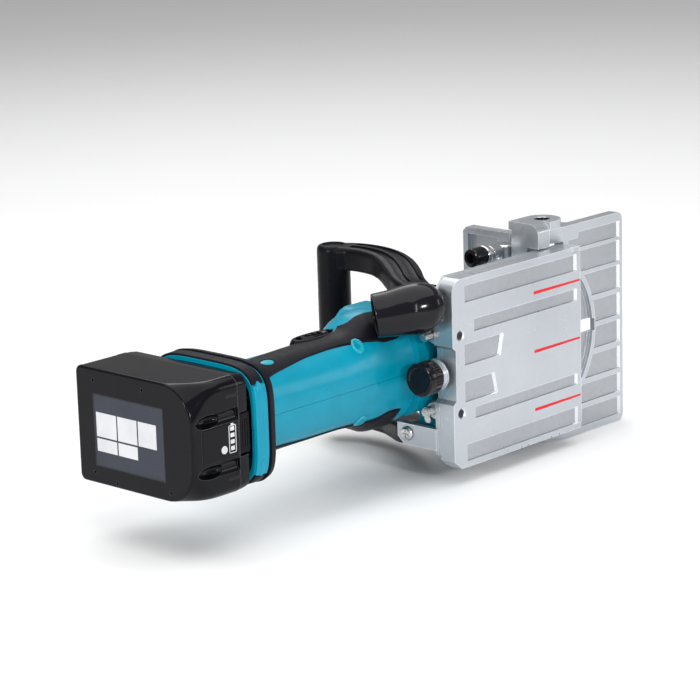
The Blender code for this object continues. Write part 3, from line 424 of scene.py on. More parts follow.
def curve_value(table, x):
    """A smooth curve through (x, value) pairs, where value may be a tuple."""
    x = min(max(x, table[0][0]), table[-1][0])
    index = next(i for i in range(len(table) - 1) if x <= table[i + 1][0])
    (x0, v0), (x1, v1) = table[index:index + 2]
    (xa, va), (xb, vb) = table[max(index - 1, 0)], table[min(index + 2, len(table) - 1)]
    t = (x - x0) / (x1 - x0)
    t2, t3 = t * t, t * t * t

    def one(before, start, end, after):
        slope_start = (end - before) / (x1 - xa) * (x1 - x0)
        slope_end = (after - start) / (xb - x0) * (x1 - x0)
        return ((2 * t3 - 3 * t2 + 1) * start + (t3 - 2 * t2 + t) * slope_start
                + (-2 * t3 + 3 * t2) * end + (t3 - t2) * slope_end)

    if isinstance(v0, tuple):
        return tuple(one(*values) for values in zip(va, v0, v1, vb))
    return one(va, v0, v1, vb)


# ---- camera, light, floor

# The camera was solved from the straight edges of the base, the guide and the pack.
CAMERA_LENS = 141.36
CAMERA_PLACE = Vector((-1443.15, -1133.85, 457.08))
CAMERA_RIGHT = Vector((0.6777, -0.7347, -0.0292)).normalized()
CAMERA_FORWARD = Vector((0.7079, 0.6626, -0.2446)).normalized()
# (name, place in metres, width, height, watts)
LAMPS = (("overhead", (0.0, 0.0, 1.7), 2.6, 2.6, 35), ("key", (-0.38, -1.6, 0.62), 0.14, 0.14, 8),
         ("side", (-1.7, -0.1, 0.6), 0.28, 0.28, 12), ("rim", (0.9, 1.1, 1.2), 0.6, 0.6, 3),
         ("front", (1.2, -1.2, 0.5), 0.5, 0.5, 2.5), ("strip", (-0.85, -1.35, 0.55), 0.08, 0.9, 4))


def make_stage():
    data = bpy.data.cameras.new("camera")
    data.lens = CAMERA_LENS
    data.sensor_width = 36
    data.clip_start = 0.05
    data.clip_end = 50
    camera = add_object("camera", data)
    up = CAMERA_RIGHT.cross(CAMERA_FORWARD).normalized()
    turn = Matrix((CAMERA_RIGHT, up, -CAMERA_FORWARD)).transposed().to_4x4()
    camera.matrix_world = Matrix.Translation((CAMERA_PLACE + OFFSET) * MM) @ turn
    bpy.context.scene.camera = camera

    world = bpy.data.worlds.new("studio")
    world.use_nodes = True
    background = world.node_tree.nodes["Background"]
    background.inputs["Color"].default_value = (1.0, 1.0, 1.0, 1)
    background.inputs["Strength"].default_value = 0.31
    bpy.context.scene.world = world
    bpy.context.scene.view_settings.view_transform = "Standard"

    floor_mesh = bpy.data.meshes.new("floor")
    bm = bmesh.new()
    bmesh.ops.create_grid(bm, x_segments=1, y_segments=1, size=6)
    bm.to_mesh(floor_mesh)
    bm.free()
    floor = add_object("floor", floor_mesh)
    floor.location = (0, 0, -0.0005)
    paper = Shader("studio_paper", (0.93, 0.93, 0.93), 0.9)
    paper.vary_colour(paper.noise(6, 2), 0.995, 1.0)
    floor_mesh.materials.append(paper.material)

    centre = Vector((0.0, 0.0, 0.06))
    for name, position, width, height, power in LAMPS:
        data = bpy.data.lights.new(name, "AREA")
        data.energy = power
        data.shape = "RECTANGLE"
        data.size, data.size_y = width, height
        lamp = add_object(name, data)
        lamp.location = position
        lamp.rotation_mode = "QUATERNION"
        lamp.rotation_quaternion = (centre - Vector(position)).to_track_quat("-Z", "Y")


# ---- motor housing

# The housing's sections from rear to front, as (x, (middle y, half y, half z, squareness))
SECTIONS = [
    (HOLDER_REAR, (59.0, 44.0, 37.5, 4.6)),
    (-300.0, (59.0, 44.6, 38.0, 4.6)),
    (-291.0, (59.0, 44.6, 37.6, 4.6)),
    (-285.5, (59.0, 43.0, 36.4, 4.4)),
    (-280.5, (58.4, 37.0, 33.6, 3.6)),
    (-276.0, (57.4, 29.8, 30.3, 2.8)),
    (-270.0, (56.8, 27.6, 29.3, 2.45)),
    (-225.0, (56.5, 27.0, 29.2, 2.3)),
    (-196.0, (56.6, 27.0, 29.4, 2.3)),
    (-182.0, (57.4, 27.5, 31.2, 2.3)),
    (-174.0, (59.0, 29.2, 34.5, 2.25)),
    (-165.0, (61.5, 31.4, 38.5, 2.15)),
    (-152.0, (64.0, 33.6, 40.2, 2.05)),
    (-143.0, (63.4, 34.6, 39.4, 2.1)),
    (-139.6, (63.0, 35.2, 38.6, 2.15)),
]


def housing_point(x, degrees, side=1, offset=0.0):
    """A point of the housing's skin; degrees run from its lower side (-Y) towards its flank."""
    middle, half_y, half_z, power = curve_value(SECTIONS, x)
    across, up = squared_circle(math.radians(degrees), power)
    return Vector((x, middle - (half_y + offset) * across, side * (half_z + offset) * up))


def span(start, end, step):
    count = max(1, round(abs(end - start) / step))
    return [start + (end - start) * index / count for index in range(count + 1)]


def housing_half(side):
    """One half of the clamshell, split on the tool's middle plane with a fine gap."""
    stations = span(HOLDER_REAR, -291.0, 3.0) + span(-290.0, -268.0, 1.0) + span(-265.0, -184.0, 3.0)
    stations += span(-182.0, -139.6, 2.1)
    split = Vector((0, 0, side * SPLIT_GAP))
    rings = []
    for x in stations:
        outer = [housing_point(x, degrees, side) + split for degrees in span(0.0, 180.0, 3.0)]
        inner = [housing_point(x, degrees, side, -SHELL_WALL) + split for degrees in span(180.0, 0.0, 3.0)]
        rings.append(outer + inner)
    return ring_loft(rings)


def rounded_edge(height, floor, distance):
    """A pad's height at a distance from its border, where it rounds down to floor over 0.9 mm."""
    return height - max(0.0, 1 - distance / 0.9) ** 2 * (height - floor)


def grip_pad(side):
    """The soft grip: a pad on the housing between two borders, with rounded edges."""
    first, last, columns = GRIP_LOW[0][0], GRIP_LOW[-1][0], 28
    rings = []
    for x in span(first, last, 2.0):
        rise = rounded_edge(1.2, 0.1, min(x - first, last - x))
        low, high = curve_value(GRIP_LOW, x), curve_value(GRIP_HIGH, x)
        outer, inner = [], []
        for index in range(columns + 1):
            degrees = low + (high - low) * index / columns
            distance = min(degrees - low, high - degrees) / DEGREES_PER_MM
            outer.append(housing_point(x, degrees, side, rounded_edge(rise, 0.05, distance)))
            inner.append(housing_point(x, degrees, side, -0.6))
        rings.append(outer + inner[::-1])
    return ring_loft(rings)


DEGREES_PER_MM = 180 / (math.pi * 28)          # round the housing, which is about 28 mm in radius

# The soft grip's two borders, as (x, degrees round the housing)
GRIP_LOW = [(-284.5, 33.0), (-279.5, 36.5), (-270.0, 44.0), (-261.5, 49.5), (-250.6, 53.7), (-240.0, 57.5),
            (-229.5, 61.0), (-219.5, 62.5), (-209.6, 63.7), (-200.4, 63.3), (-191.5, 61.0), (-180.0, 53.0),
            (-170.0, 42.5), (-161.5, 36.0), (-153.0, 34.8), (-146.0, 36.0)]
GRIP_HIGH = [(-284.5, 100.0), (-270.0, 92.0), (-256.4, 94.6), (-246.2, 96.9), (-235.8, 99.0),
             (-225.7, 101.2), (-217.0, 104.0), (-211.0, 112.0), (-206.0, 124.0), (-198.0, 131.0),
             (-188.0, 130.0), (-181.0, 114.0), (-176.0, 94.0), (-165.0, 84.0), (-153.0, 77.0),
             (-146.0, 74.0)]


def oval_on_housing(x, degrees, half_long, half_wide, side, top, bottom):
    """An oval plug standing on the housing's skin."""
    rings = []
    for share, lift in ((0.0, top), (0.82, top), (0.95, top - 0.15), (1.0, top - 0.5), (1.0, bottom)):
        along, around = max(half_long * share, 0.01), max(half_wide * share * DEGREES_PER_MM, 0.02)
        ring = [housing_point(x + along * math.cos(angle), degrees + around * math.sin(angle), side,
                              lift) for angle in turn_angles(36)]
        rings.append(ring)
    return ring_loft(rings)


def make_housing():
    for side, name in SIDES:
        half = to_object(f"housing_shell_{name}", housing_half(side), "teal")
        cutters = [box((-310.0, -296.0), (28.0, 92.0), (-24.0, 24.0)),
                   turned("x", (56.5, 0), [(-150.0, 24.0), (-130.0, 24.0)])]
        if side > 0:
            cutters.append(slot_shape(17.2, 4.9, 20.0, 40.0))
        carve(half, *cutters)
        finish_piece(half, "motor_unit", "teal_plastic", f"motor_housing_{name}")
        grip = to_object(f"soft_grip_{name}", grip_pad(side), "rubber", 60)
        holes = [oval_on_housing(-258.0, 73.5, 5.6, 3.6, side, 4.0, -3.0),
                 oval_on_housing(-183.0, 52.0, 4.4, 6.4, side, 4.0, -3.0)]
        if side > 0:
            holes.append(slot_shape(19.6, 7.2, 14.0, 60.0))
        carve(grip, *holes)
        finish_piece(grip, "motor_unit", "rubber", f"grip_rubber_{name}")
        window = oval_on_housing(-258.0, 73.5, 5.4, 3.4, side, 0.9, -0.5)
        add_piece(f"grip_window_{name}", window, "teal_light", "motor_unit", "teal_plastic")
        ring = to_object(f"screw_well_{name}", oval_on_housing(-183.0, 52.0, 4.3, 6.2, side, 1.1, -0.5),
                         "teal_light")
        carve(ring, oval_on_housing(-183.0, 52.0, 3.0, 4.6, side, 3.0, 0.2))
        finish_piece(ring, "motor_unit", "teal_plastic")
    make_shroud()


def make_shroud():
    """Front collar that closes the housing down to the guide rods, and the shoulder block above it."""
    table = [(-139.3, (63.0, 35.2, 38.5, 2.15)), (-135.0, (62.4, 36.0, 37.2, 2.25)),
             (-131.0, (61.8, 36.3, 36.0, 2.4)), (-112.6, (61.4, 36.2, 35.4, 2.5)),
             (-111.0, (61.4, 35.2, 34.4, 2.5))]
    rings = []
    for inset, stations in ((0.0, span(-139.3, -111.0, 1.2)), (3.0, span(-111.0, -139.3, 1.2))):
        for x in stations:
            middle, half_y, half_z, power = curve_value(table, x)
            ring = rounded_ring(middle, half_y - inset, half_z - inset, power)
            rings.append([(x, y, z) for y, z in ring])
    shroud = to_object("housing_front_collar", ring_loft(rings, "joined"), "teal")
    carve(shroud, box((-160.0, -120.0), (66.0, 110.0), (-60.0, 60.0)))
    finish_piece(shroud, "motor_unit", "teal_plastic")
    profile = [(-168.0, 28.0), (-163.5, 32.5), (-155.5, 38.6), (-150.5, 40.1), (-130.0, 40.1),
               (-128.0, 38.5), (-128.0, 28.0)]
    block = to_object("housing_shoulder_block", prism(profile, "xz", 60.0, 80.0), "teal")
    add_bevel(block, 2.4, 4)
    finish_piece(block, "motor_unit", "teal_plastic")


def oval_stack(levels, count=64):
    """Ovals over the slide switch's middle, one for each (half x, half y, z)."""
    rings = []
    for half_x, half_y, z in levels:
        ovals = [squared_circle(angle, 2.4) for angle in turn_angles(count)]
        rings.append([(SWITCH_X + half_x * a, SWITCH_Y + half_y * b, z) for a, b in ovals])
    return ring_loft(rings)


def slot_shape(half_x, half_y, low, high):
    return oval_stack([(half_x, half_y, low), (half_x, half_y, high)], 48)


def make_switch():
    outer = oval_stack([(20.6, 8.6, 22.0), (20.6, 8.6, 27.6), (20.0, 8.0, 29.6), (19.0, 7.2, 30.9),
                        (17.9, 6.2, 31.3)])
    bezel = to_object("switch_bezel", outer, "black", 60)
    carve(bezel, slot_shape(16.9, 4.9, 25.6, 40.0))
    finish_piece(bezel, "motor_unit", "black_plastic")
    knob = oval_stack([(12.0, 4.5, 26.2), (12.0, 4.5, 30.6), (11.5, 4.1, 31.5), (10.6, 3.4, 31.9),
                       (9.0, 2.6, 31.3), (4.0, 1.2, 30.8), (0.1, 0.05, 30.7)])
    slider = to_object("switch_slider", knob, "gloss", 60)
    ridges = [box((x - 0.55, x + 0.55), (63.2, 68.8), (29.6, 32.5), 0.4) for x in (-200.0, -195.0, -190.0)]
    weld(slider, *ridges)
    finish_piece(slider, "switch_knob", "black_plastic", "slide_switch")


RING_STEPS = 96


def rounded_ring(middle, half_y, half_z, power):
    """The (y, z) points round a section of the housing, from its near side."""
    ovals = [squared_circle(angle, power) for angle in turn_angles(RING_STEPS)]
    return [(middle - half_y * across, half_z * up) for across, up in ovals]


def band(x_low, x_high, proud, first=0, last=RING_STEPS):
    """A strip that hugs the holder, standing proud of it; closed when it covers every step."""
    inner, edge = -0.8, 0.8
    profile = [(x_low, inner), (x_low, proud - edge), (x_low + edge * 0.3, proud - edge * 0.3),
               (x_low + edge, proud), (x_high - edge, proud), (x_high - edge * 0.3, proud - edge * 0.3),
               (x_high, proud - edge), (x_high, inner)]
    slices = []
    for x, lift in profile:
        middle, half_y, half_z, power = curve_value(SECTIONS, max(HOLDER_REAR, min(-286.0, x)))
        slices.append([(x, y, z) for y, z in rounded_ring(middle, half_y + lift, half_z + lift, power)])
    closed = last - first >= RING_STEPS
    steps = [index % RING_STEPS for index in range(first, last if closed else last + 1)]
    return ring_loft([[ring[index] for ring in slices] for index in steps],
                     "joined" if closed else "capped")


def make_holder():
    add_piece("holder_bumper_band", band(-291.6, -286.2, 2.0), "rubber", "motor_unit", "rubber",
              "holder_bumper")
    bar = merge(band(-302.4, -293.6, 1.3, first=8, last=38), band(-302.4, -293.6, 1.3, first=-15, last=-9))
    add_piece("holder_top_bar", bar, "rubber", "motor_unit", "rubber")
    flange = to_object("holder_flange", band(-302.7, -293.2, 1.7, first=-8, last=7), "teal")
    carve(flange, box((-299.6, -296.4), (8.0, 13.0), (-22.0, 18.0), 0.4))
    finish_piece(flange, "motor_unit", "teal_plastic")
    for side, name in SIDES:
        window = band_corner(side, 1.9, -300.6, -296.0, 7.0, 17.0)
        add_piece(f"holder_corner_window_{name}", window, "teal", "motor_unit", "teal_plastic")


def band_corner(side, proud, x_low, x_high, start, end):
    """An oval over the holder's near corner; start and end are distances in Z below its top edge."""
    rings = []
    rows = 20
    for row in range(rows + 1):
        share = row / rows
        z = 37.0 - start - (end - start) * share
        narrow = max(0.12, math.sin(math.pi * (0.03 + share * 0.94))) ** 0.6
        middle = (x_low + x_high) / 2
        half = (x_high - x_low) / 2 * narrow
        section = curve_value(SECTIONS, middle)

        def skin_y(lift, height=z, shape=section):
            reach = min(0.9999, height / (shape[2] + lift))
            return shape[0] - (shape[1] + lift) * (1 - reach ** shape[3]) ** (1 / shape[3])

        outer_y, inner_y = skin_y(proud), skin_y(-0.8)
        ring = [(middle - half, inner_y, side * z), (middle - half, outer_y + 0.5, side * z),
                (middle - half * 0.7, outer_y, side * z), (middle + half * 0.7, outer_y, side * z),
                (middle + half, outer_y + 0.5, side * z), (middle + half, inner_y, side * z)]
        rings.append(ring)
    return ring_loft(rings)


# ---- battery

REAR_X = -355.7


def pack_ring(x, inset, near_radius, far_radius=4.0, steps=12):
    """The pack's section, with wide corners at its near end (-Y) and tight ones at the far end."""
    low, high, half = 15.8 + inset, 118.0 - inset, 37.1 - inset
    corners = ((low, half, near_radius, 180), (high, half, far_radius, 90), (high, -half, far_radius, 0),
               (low, -half, near_radius, -90))
    points = []
    for y, z, radius, start in corners:
        middle_y = y + radius if y == low else y - radius
        middle_z = z - radius if z > 0 else z + radius
        points += [(x, *point) for point in arc(middle_y, middle_z, radius, start, start - 90, steps)]
    return points


def make_battery():
    stations = [(0.0, 1.3, 22.7), (0.3, 0.6, 23.4), (1.0, 0.15, 23.9), (2.0, 0.0, 23.6), (5.0, 0.0, 20.5),
                (8.5, 0.0, 16.0), (12.0, 0.0, 12.0), (16.0, 0.0, 9.4), (20.0, 0.0, 8.0), (26.0, 0.0, 7.4)]
    rings = [pack_ring(REAR_X + along, inset, radius) for along, inset, radius in stations]
    rings.append(pack_ring(-316.2, 0.0, 7.4))
    case = to_object("battery_shell", ring_loft(rings), "battery")
    weld(case, box((-347.6, -317.4), (14.9, 20.0), (-12.6, 9.4), 0.8))
    cutters = []
    channel = [(-352.0, 0.2), (-349.5, 3.6), (-346.0, 4.7), (-340.0, 5.0), (-316.0, 5.4)]
    for x, z in ((-341.2, 13.9), (-340.0, -18.0)):
        cutters += [finger_pit(x, 15.9, z), turned("x", (12.4, z), channel)]
    for y, z in ((102.0, 29.6), (58.0, 30.0), (104.0, -30.0), (84.0, -33.6), (36.0, -31.0)):
        cutters.append(turned("x", (y, z), [(REAR_X - 1, 1.0), (REAR_X + 4, 1.0)], 20))
    cutters += [box((REAR_X - 1, REAR_X + 0.35), (40.4, 102.6), (-25.0, 21.0)),
                box((REAR_X + 3.0, REAR_X + 34.0), (113.6, 120.0), (36.3, 38.0))]
    for z in (-26.0, 26.0):
        cutters.append(box((REAR_X + 30.0, -310.0), (14.0, 16.5), (z - 0.5, z + 0.5)))
    carve(case, *cutters)
    finish_piece(case, "battery", "gloss_black", "battery_case_lower")
    upper = [(-315.7, 0.2, 7.2), (-312.0, 0.4, 7.0), (-307.6, 0.9, 7.0), (-306.4, 2.4, 7.0),
             (-304.4, 5.4, 6.0)]
    rails = to_object("battery_rail_shell", ring_loft([pack_ring(*station) for station in upper]),
                      "battery")
    carve(rails, box((-315.0, -300.0), (10.0, 26.0), (-14.0, 14.0)))
    finish_piece(rails, "battery", "gloss_black", "battery_case_upper")
    make_label()
    make_gauge()
    make_button()


def finger_pit(x, y, z):
    """An almond-shaped hollow beside the release button."""
    bm = bmesh.new()
    bmesh.ops.create_uvsphere(bm, u_segments=32, v_segments=20, radius=1.0)
    bmesh.ops.scale(bm, vec=(11.2, 5.2, 4.2), verts=bm.verts)
    bmesh.ops.translate(bm, vec=(x, y, z), verts=bm.verts)
    return bm


def make_label():
    sheet = box((REAR_X + 0.2, REAR_X + 0.5), (40.8, 102.2), (-24.6, 20.6))
    add_piece("label_sheet", sheet, "label", "battery", "label_grey")
    bm = bmesh.new()
    cells = ((82.6, 100.6, -6.0, 9.6), (64.2, 81.4, -6.0, 9.6), (47.0, 63.0, -6.0, 9.6),
             (82.6, 100.6, -15.4, -7.2), (64.2, 81.4, -15.4, -7.2))
    for y_low, y_high, z_low, z_high in cells:
        merge(bm, box((REAR_X + 0.08, REAR_X + 0.3), (y_low, y_high), (z_low, z_high)))
    add_piece("label_blank_fields", bm, "label_pale", "battery", "label_grey")


def make_gauge():
    """Charge gauge: a battery-shaped outline round four bars, and the check button beside it."""
    bm = bmesh.new()
    face, left, right = 14.72, -325.6, -319.4
    outline = ((left, left + 0.5, -9.4, 8.2), (right - 0.5, right, -9.4, 8.2), (left, right, 7.7, 8.2),
               (left, right, -9.4, -8.9), (left + 2.0, right - 2.0, 8.2, 9.2))
    for x_low, x_high, z_low, z_high in outline:
        merge(bm, box((x_low, x_high), (face, face + 0.5), (z_low, z_high)))
    for index in range(4):
        z = -7.7 + 4.1 * index
        merge(bm, box((left + 1.4, right - 1.4), (face, face + 0.5), (z, z + 2.6), 0.15))
    merge(bm, turned("y", (-329.6, -6.2), [(face - 0.15, 2.0), (face - 0.1, 2.4), (face + 0.5, 2.7)], 32))
    add_piece("charge_gauge_marks", bm, "lamp", "battery", "label_grey", "charge_gauge")


def make_button():
    shape = box((-314.6, -305.2), (16.6, 23.0), (-13.0, 13.0), 1.2)
    button = to_object("battery_button", shape, "black")
    carve(button, *[box((x - 0.4, x + 0.4), (15.0, 17.4), (-9.0, 9.0)) for x in (-312.0, -310.0, -308.0)])
    finish_piece(button, "battery_button", "black_plastic", "battery_release_button")


# ---- base, cover, knob

GROOVE_DEPTH = 1.6


def cover_outline():
    rear, half, corner = -134.3, 64.0, 9.0
    return [(0.0, half), *arc(rear + corner, half - corner, corner, 90, 180, 8), (rear, 19.5),
            (rear + 3.0, 17.0), (rear + 3.0, -17.0), (rear, -19.5), (rear, -half + 6.0),
            (rear + 7.5, -half), (0.0, -half)]


def slanted_groove(x_rear, x_front, z_low, z_high, slant, depth=GROOVE_DEPTH, ramp=1.5):
    """A shallow groove in the underside whose front end ramps up to the surface."""
    rings = []
    for y, reach, flare in ((-0.5, ramp * (1 + 0.5 / depth), 0.9), (depth, 0.0, 0.0)):
        front = x_front - ramp + reach
        rings.append([(x_rear - flare, y, z_low - flare), (front, y, z_low - flare),
                      (front + slant, y, z_high + flare), (x_rear - flare, y, z_high + flare)])
    return ring_loft(rings)


def make_cover():
    cover = to_object("cover_plate", prism(cover_outline(), "xz", 0.0, 11.8), "cast")
    front = -30.5
    cutters = [long_hole(-52.0, front, 52.0, 7.0, 13.0), long_hole(-52.0, front, 17.0, 1.6, 8.0),
               box((-10.3, 1.0), (9.6, 14.0), (-70.0, 70.0)), box((-8.6, 1.2), (5.0, 12.5), (-46.0, 46.0))]
    for side in (-1, 1):
        countersunk = [(-1.0, 3.6), (0.0, 3.6), (0.6, 2.9), (13.0, 2.9)]
        cutters += [box((-9.4, 1.0), (-1.0, 14.0), sorted((side * 60.1, side * 70.0))),
                    turned("z", (-4.0, 4.0), sorted([(side * 54.0, 1.8), (side * 63.0, 1.8)]), 24),
                    turned("y", (-126.5, side * 26.3), countersunk, 32)]
    grooves = ((-121.0, -4.0, 48.0, 58.2, 0.0), (-112.0, -4.0, 27.2, 34.4, 0.0),
               (-112.0, -4.0, -31.9, -25.2, 0.0), (-121.0, -4.0, -59.4, -49.0, 0.0),
               (-122.0, -86.0, 6.0, 19.0, 3.2), (-122.0, -89.2, -19.0, -6.0, 3.2 - 6.4))
    cutters += [slanted_groove(*groove) for groove in grooves]
    cutters += [box((-136.0, -110.0), (9.4, 14.0), (-3.6, 3.6)),
                turned("x", (CLAMP_Y, 0), [(-136.0, 3.6), (-110.0, 3.6)], 32),
                box((-138.0, -92.0), (7.0, 14.0), (37.0, 54.0))]
    cutters += [box((x, x + 1.2), (-1.0, 3.0), (-65.0, -62.8)) for x in (-66.0, -59.0, -34.0, -25.0)]
    carve(cover, *cutters)
    finish_casting(cover, 0.0, (GROOVE_DEPTH,), 0.55)
    finish_piece(cover, "blade_cover", "cast_aluminium", "blade_cover")
    bm = bmesh.new()
    for z in (-40.5, 0.0, 40.5):
        outline = [(-50.5, z - 0.9), (-50.5, z + 0.9), (-49.6, z + 1.1), (-0.9, z + 0.7), (-0.9, z - 0.7),
                   (-49.6, z - 1.1)]
        merge(bm, prism(outline, "xz", -0.04, 0.12))
    add_piece("cover_index_lines", bm, "red", "blade_cover", "cast_aluminium")


def long_hole(rear_x, front_x, radius, low, high):
    ends = arc(front_x, 0, radius, -90, 90, 40) + arc(rear_x, 0, radius, 90, 270, 40)
    return prism(ends, "xz", low, high)


def make_knob():
    """Clamp knob: a fluted rim behind a dished face, on its screw."""
    profile = [(-153.2, 0.01), (-153.3, 7.6), (-154.0, 8.6), (-154.0, 9.8), (-153.5, 10.8), (-152.6, 11.3),
               (-148.6, 11.4), (-148.2, 11.0), (-147.6, 11.4), (-142.2, 11.4), (-141.3, 10.9),
               (-141.0, 10.0), (-141.0, 3.0), (-119.0, 3.0)]

    def flute(x, radius, index):
        on_rim = radius > 11.2 and -148.0 < x < -142.0
        return radius - 0.55 if on_rim and index % 4 < 2 else radius

    add_piece("clamp_knob", turned("x", (CLAMP_Y, 0), profile, 144, flute), "gloss", "cover_clamp",
              "black_plastic", "cover_clamp_knob", smooth=30)
    profile = [(-140.7, 3.4), (-140.7, 9.8), (-140.2, 10.5), (-137.6, 10.5), (-137.4, 9.9),
               (-137.0, 9.9), (-136.8, 10.5), (-135.6, 10.5), (-135.2, 10.0), (-135.2, 3.4)]
    add_piece("clamp_knob_washer", turned("x", (CLAMP_Y, 0), profile), "cast", "cover_clamp", "steel",
              "clamp_washer")


# ---- nozzle and handle

def ring_across(point, along, wide, tall, count, power=2.0):
    """An oval ring round a point, square to the direction along."""
    side = along.cross(AXES["z"]).normalized()
    lift = side.cross(along).normalized()
    ovals = [squared_circle(angle, power) for angle in turn_angles(count)]
    return [Vector(point) + side * wide * a + lift * tall * b for a, b in ovals]


def direction_at(path, index):
    """The way a path runs at one of its points."""
    before, after = path[max(index - 1, 0)], path[min(index + 1, len(path) - 1)]
    return (Vector(after) - Vector(before)).normalized()


def tube_along(path, radii, count, power):
    """A solid tube along a path; radii holds (wide, tall) for each of its points."""
    return ring_loft([ring_across(point, direction_at(path, index), *radii[index], count, power) for index,
                      point in enumerate(path)])


def resample(table, count):
    """A smooth path through points, spaced by their own order."""
    spots = [(index, tuple(values)) for index, values in enumerate(table)]
    last = len(table) - 1
    return [curve_value(spots, last * step / count) for step in range(count + 1)]


def make_nozzle():
    shape = [(-140.2, 13.0, 46.2, 11.6, 12.6), (-142.0, 13.2, 46.5, 13.8, 15.2),
             (-145.4, 14.6, 46.7, 15.4, 16.6), (-150.2, 18.6, 46.3, 16.6, 17.0),
             (-156.0, 23.8, 45.3, 16.0, 16.2), (-162.0, 29.0, 44.2, 15.2, 15.2),
             (-169.2, 35.3, 43.1, 14.6, 14.6)]
    rows = resample(shape, 30)
    path = [row[:3] for row in rows]
    count, wall, first_open_row = 56, 2.2, 8
    ways = [direction_at(path, index) for index in range(len(path))]
    rings = [ring_across(row[:3], way, *row[3:], count) for row, way in zip(rows, ways)]
    mouth_way = ways[-1]
    for forward, radius in ((0.5, 14.5), (0.75, 14.2), (0.75, 12.9), (0.3, 12.5)):
        rings.append(ring_across(Vector(path[-1]) + mouth_way * forward, mouth_way, radius, radius, count))
    for row, way in reversed(list(zip(rows, ways))[first_open_row:]):
        rings.append(ring_across(row[:3], way, row[3] - wall, row[4] - wall, count))
    add_piece("dust_nozzle_elbow", ring_loft(rings), "gloss", "base", "gloss_black", "dust_nozzle",
              smooth=50)


ARM = [(-121.0, 33.0, 46.5, 10.0, 6.6), (-120.0, 42.0, 47.5, 10.5, 6.8), (-115.5, 54.0, 49.8, 11.6, 7.2),
       (-105.0, 68.0, 51.6, 12.6, 7.8), (-94.0, 84.0, 53.6, 12.8, 8.0), (-87.2, 100.0, 55.0, 12.4, 8.2),
       (-84.8, 116.0, 55.4, 12.0, 8.4), (-86.2, 130.0, 55.4, 11.6, 8.4), (-91.0, 139.0, 55.4, 11.2, 8.4)]


def arm_channel(side, across):
    """A long shallow channel in an arm's outer face, set across from its middle."""
    rows = resample(ARM, 40)[7:36]
    flat = [(x, y, 0) for x, y, _, _, _ in rows]
    path = []
    for index, (x, y, z, _, tall) in enumerate(rows):
        along = direction_at(flat, index)
        path.append((x + along.y * across, y - along.x * across, side * (z + tall + 0.1)))
    return tube_along(path, [(2.9, 1.9)] * len(path), 20, 5.0)


def make_handle():
    end = [(64.0, 0.01), (64.0, 9.0), (63.3, 10.4), (61.8, 11.2), (59.5, 11.5)]
    bar = turned("z", HANDLE_BAR, [(-z, radius) for z, radius in end] + end[::-1])
    handle = to_object("loop_handle", bar, "black")
    shapes = []
    for side in (-1, 1):
        rows = resample(ARM, 32)
        path = [(x, y, side * z) for x, y, z, _, _ in rows]
        shapes += [tube_along(path, [row[3:] for row in rows], 40, 5.0),
                   box((-130.9, -110.5), (31.6, 46.6), sorted((side * 39.6, side * 53.4)), 1.6)]
    weld(handle, *shapes)
    cutters = []
    for side in (-1, 1):
        dish = sorted([(side * 63.0, 7.3), (side * 65.0, 8.1)])
        cutters += [turned("z", HANDLE_BAR, dish),
                    turned("x", (SCREW_Y, side * SCREW_Z), [(-140.0, 2.2), (-118.0, 2.2)], 24)]
        cutters += [arm_channel(side, across) for across in (-4.5, 4.5)]
    carve(handle, *cutters)
    add_bevel(handle, 0.6, 3)
    finish_piece(handle, "base", "black_plastic", "d_handle")
    for side, name in SIDES:
        y, z = SCREW_Y, side * SCREW_Z
        profile = [(-138.2, 0.01), (-138.2, 3.2), (-137.8, 4.3), (-136.9, 4.9), (-136.3, 4.9),
                   (-136.3, 1.9), (-119.0, 1.9)]
        screw = to_object(f"handle_screw_head_{name}", turned("x", (y, z), profile, 48), "steel")
        carve(screw, box((-139.0, -137.2), (y - 2.6, y + 2.6), (z - 0.45, z + 0.45)),
              box((-139.0, -137.25), (y - 0.45, y + 0.45), (z - 2.6, z + 2.6)))
        finish_piece(screw, "base", "steel", f"handle_screw_{name}")


# ---- fence, guide, levers

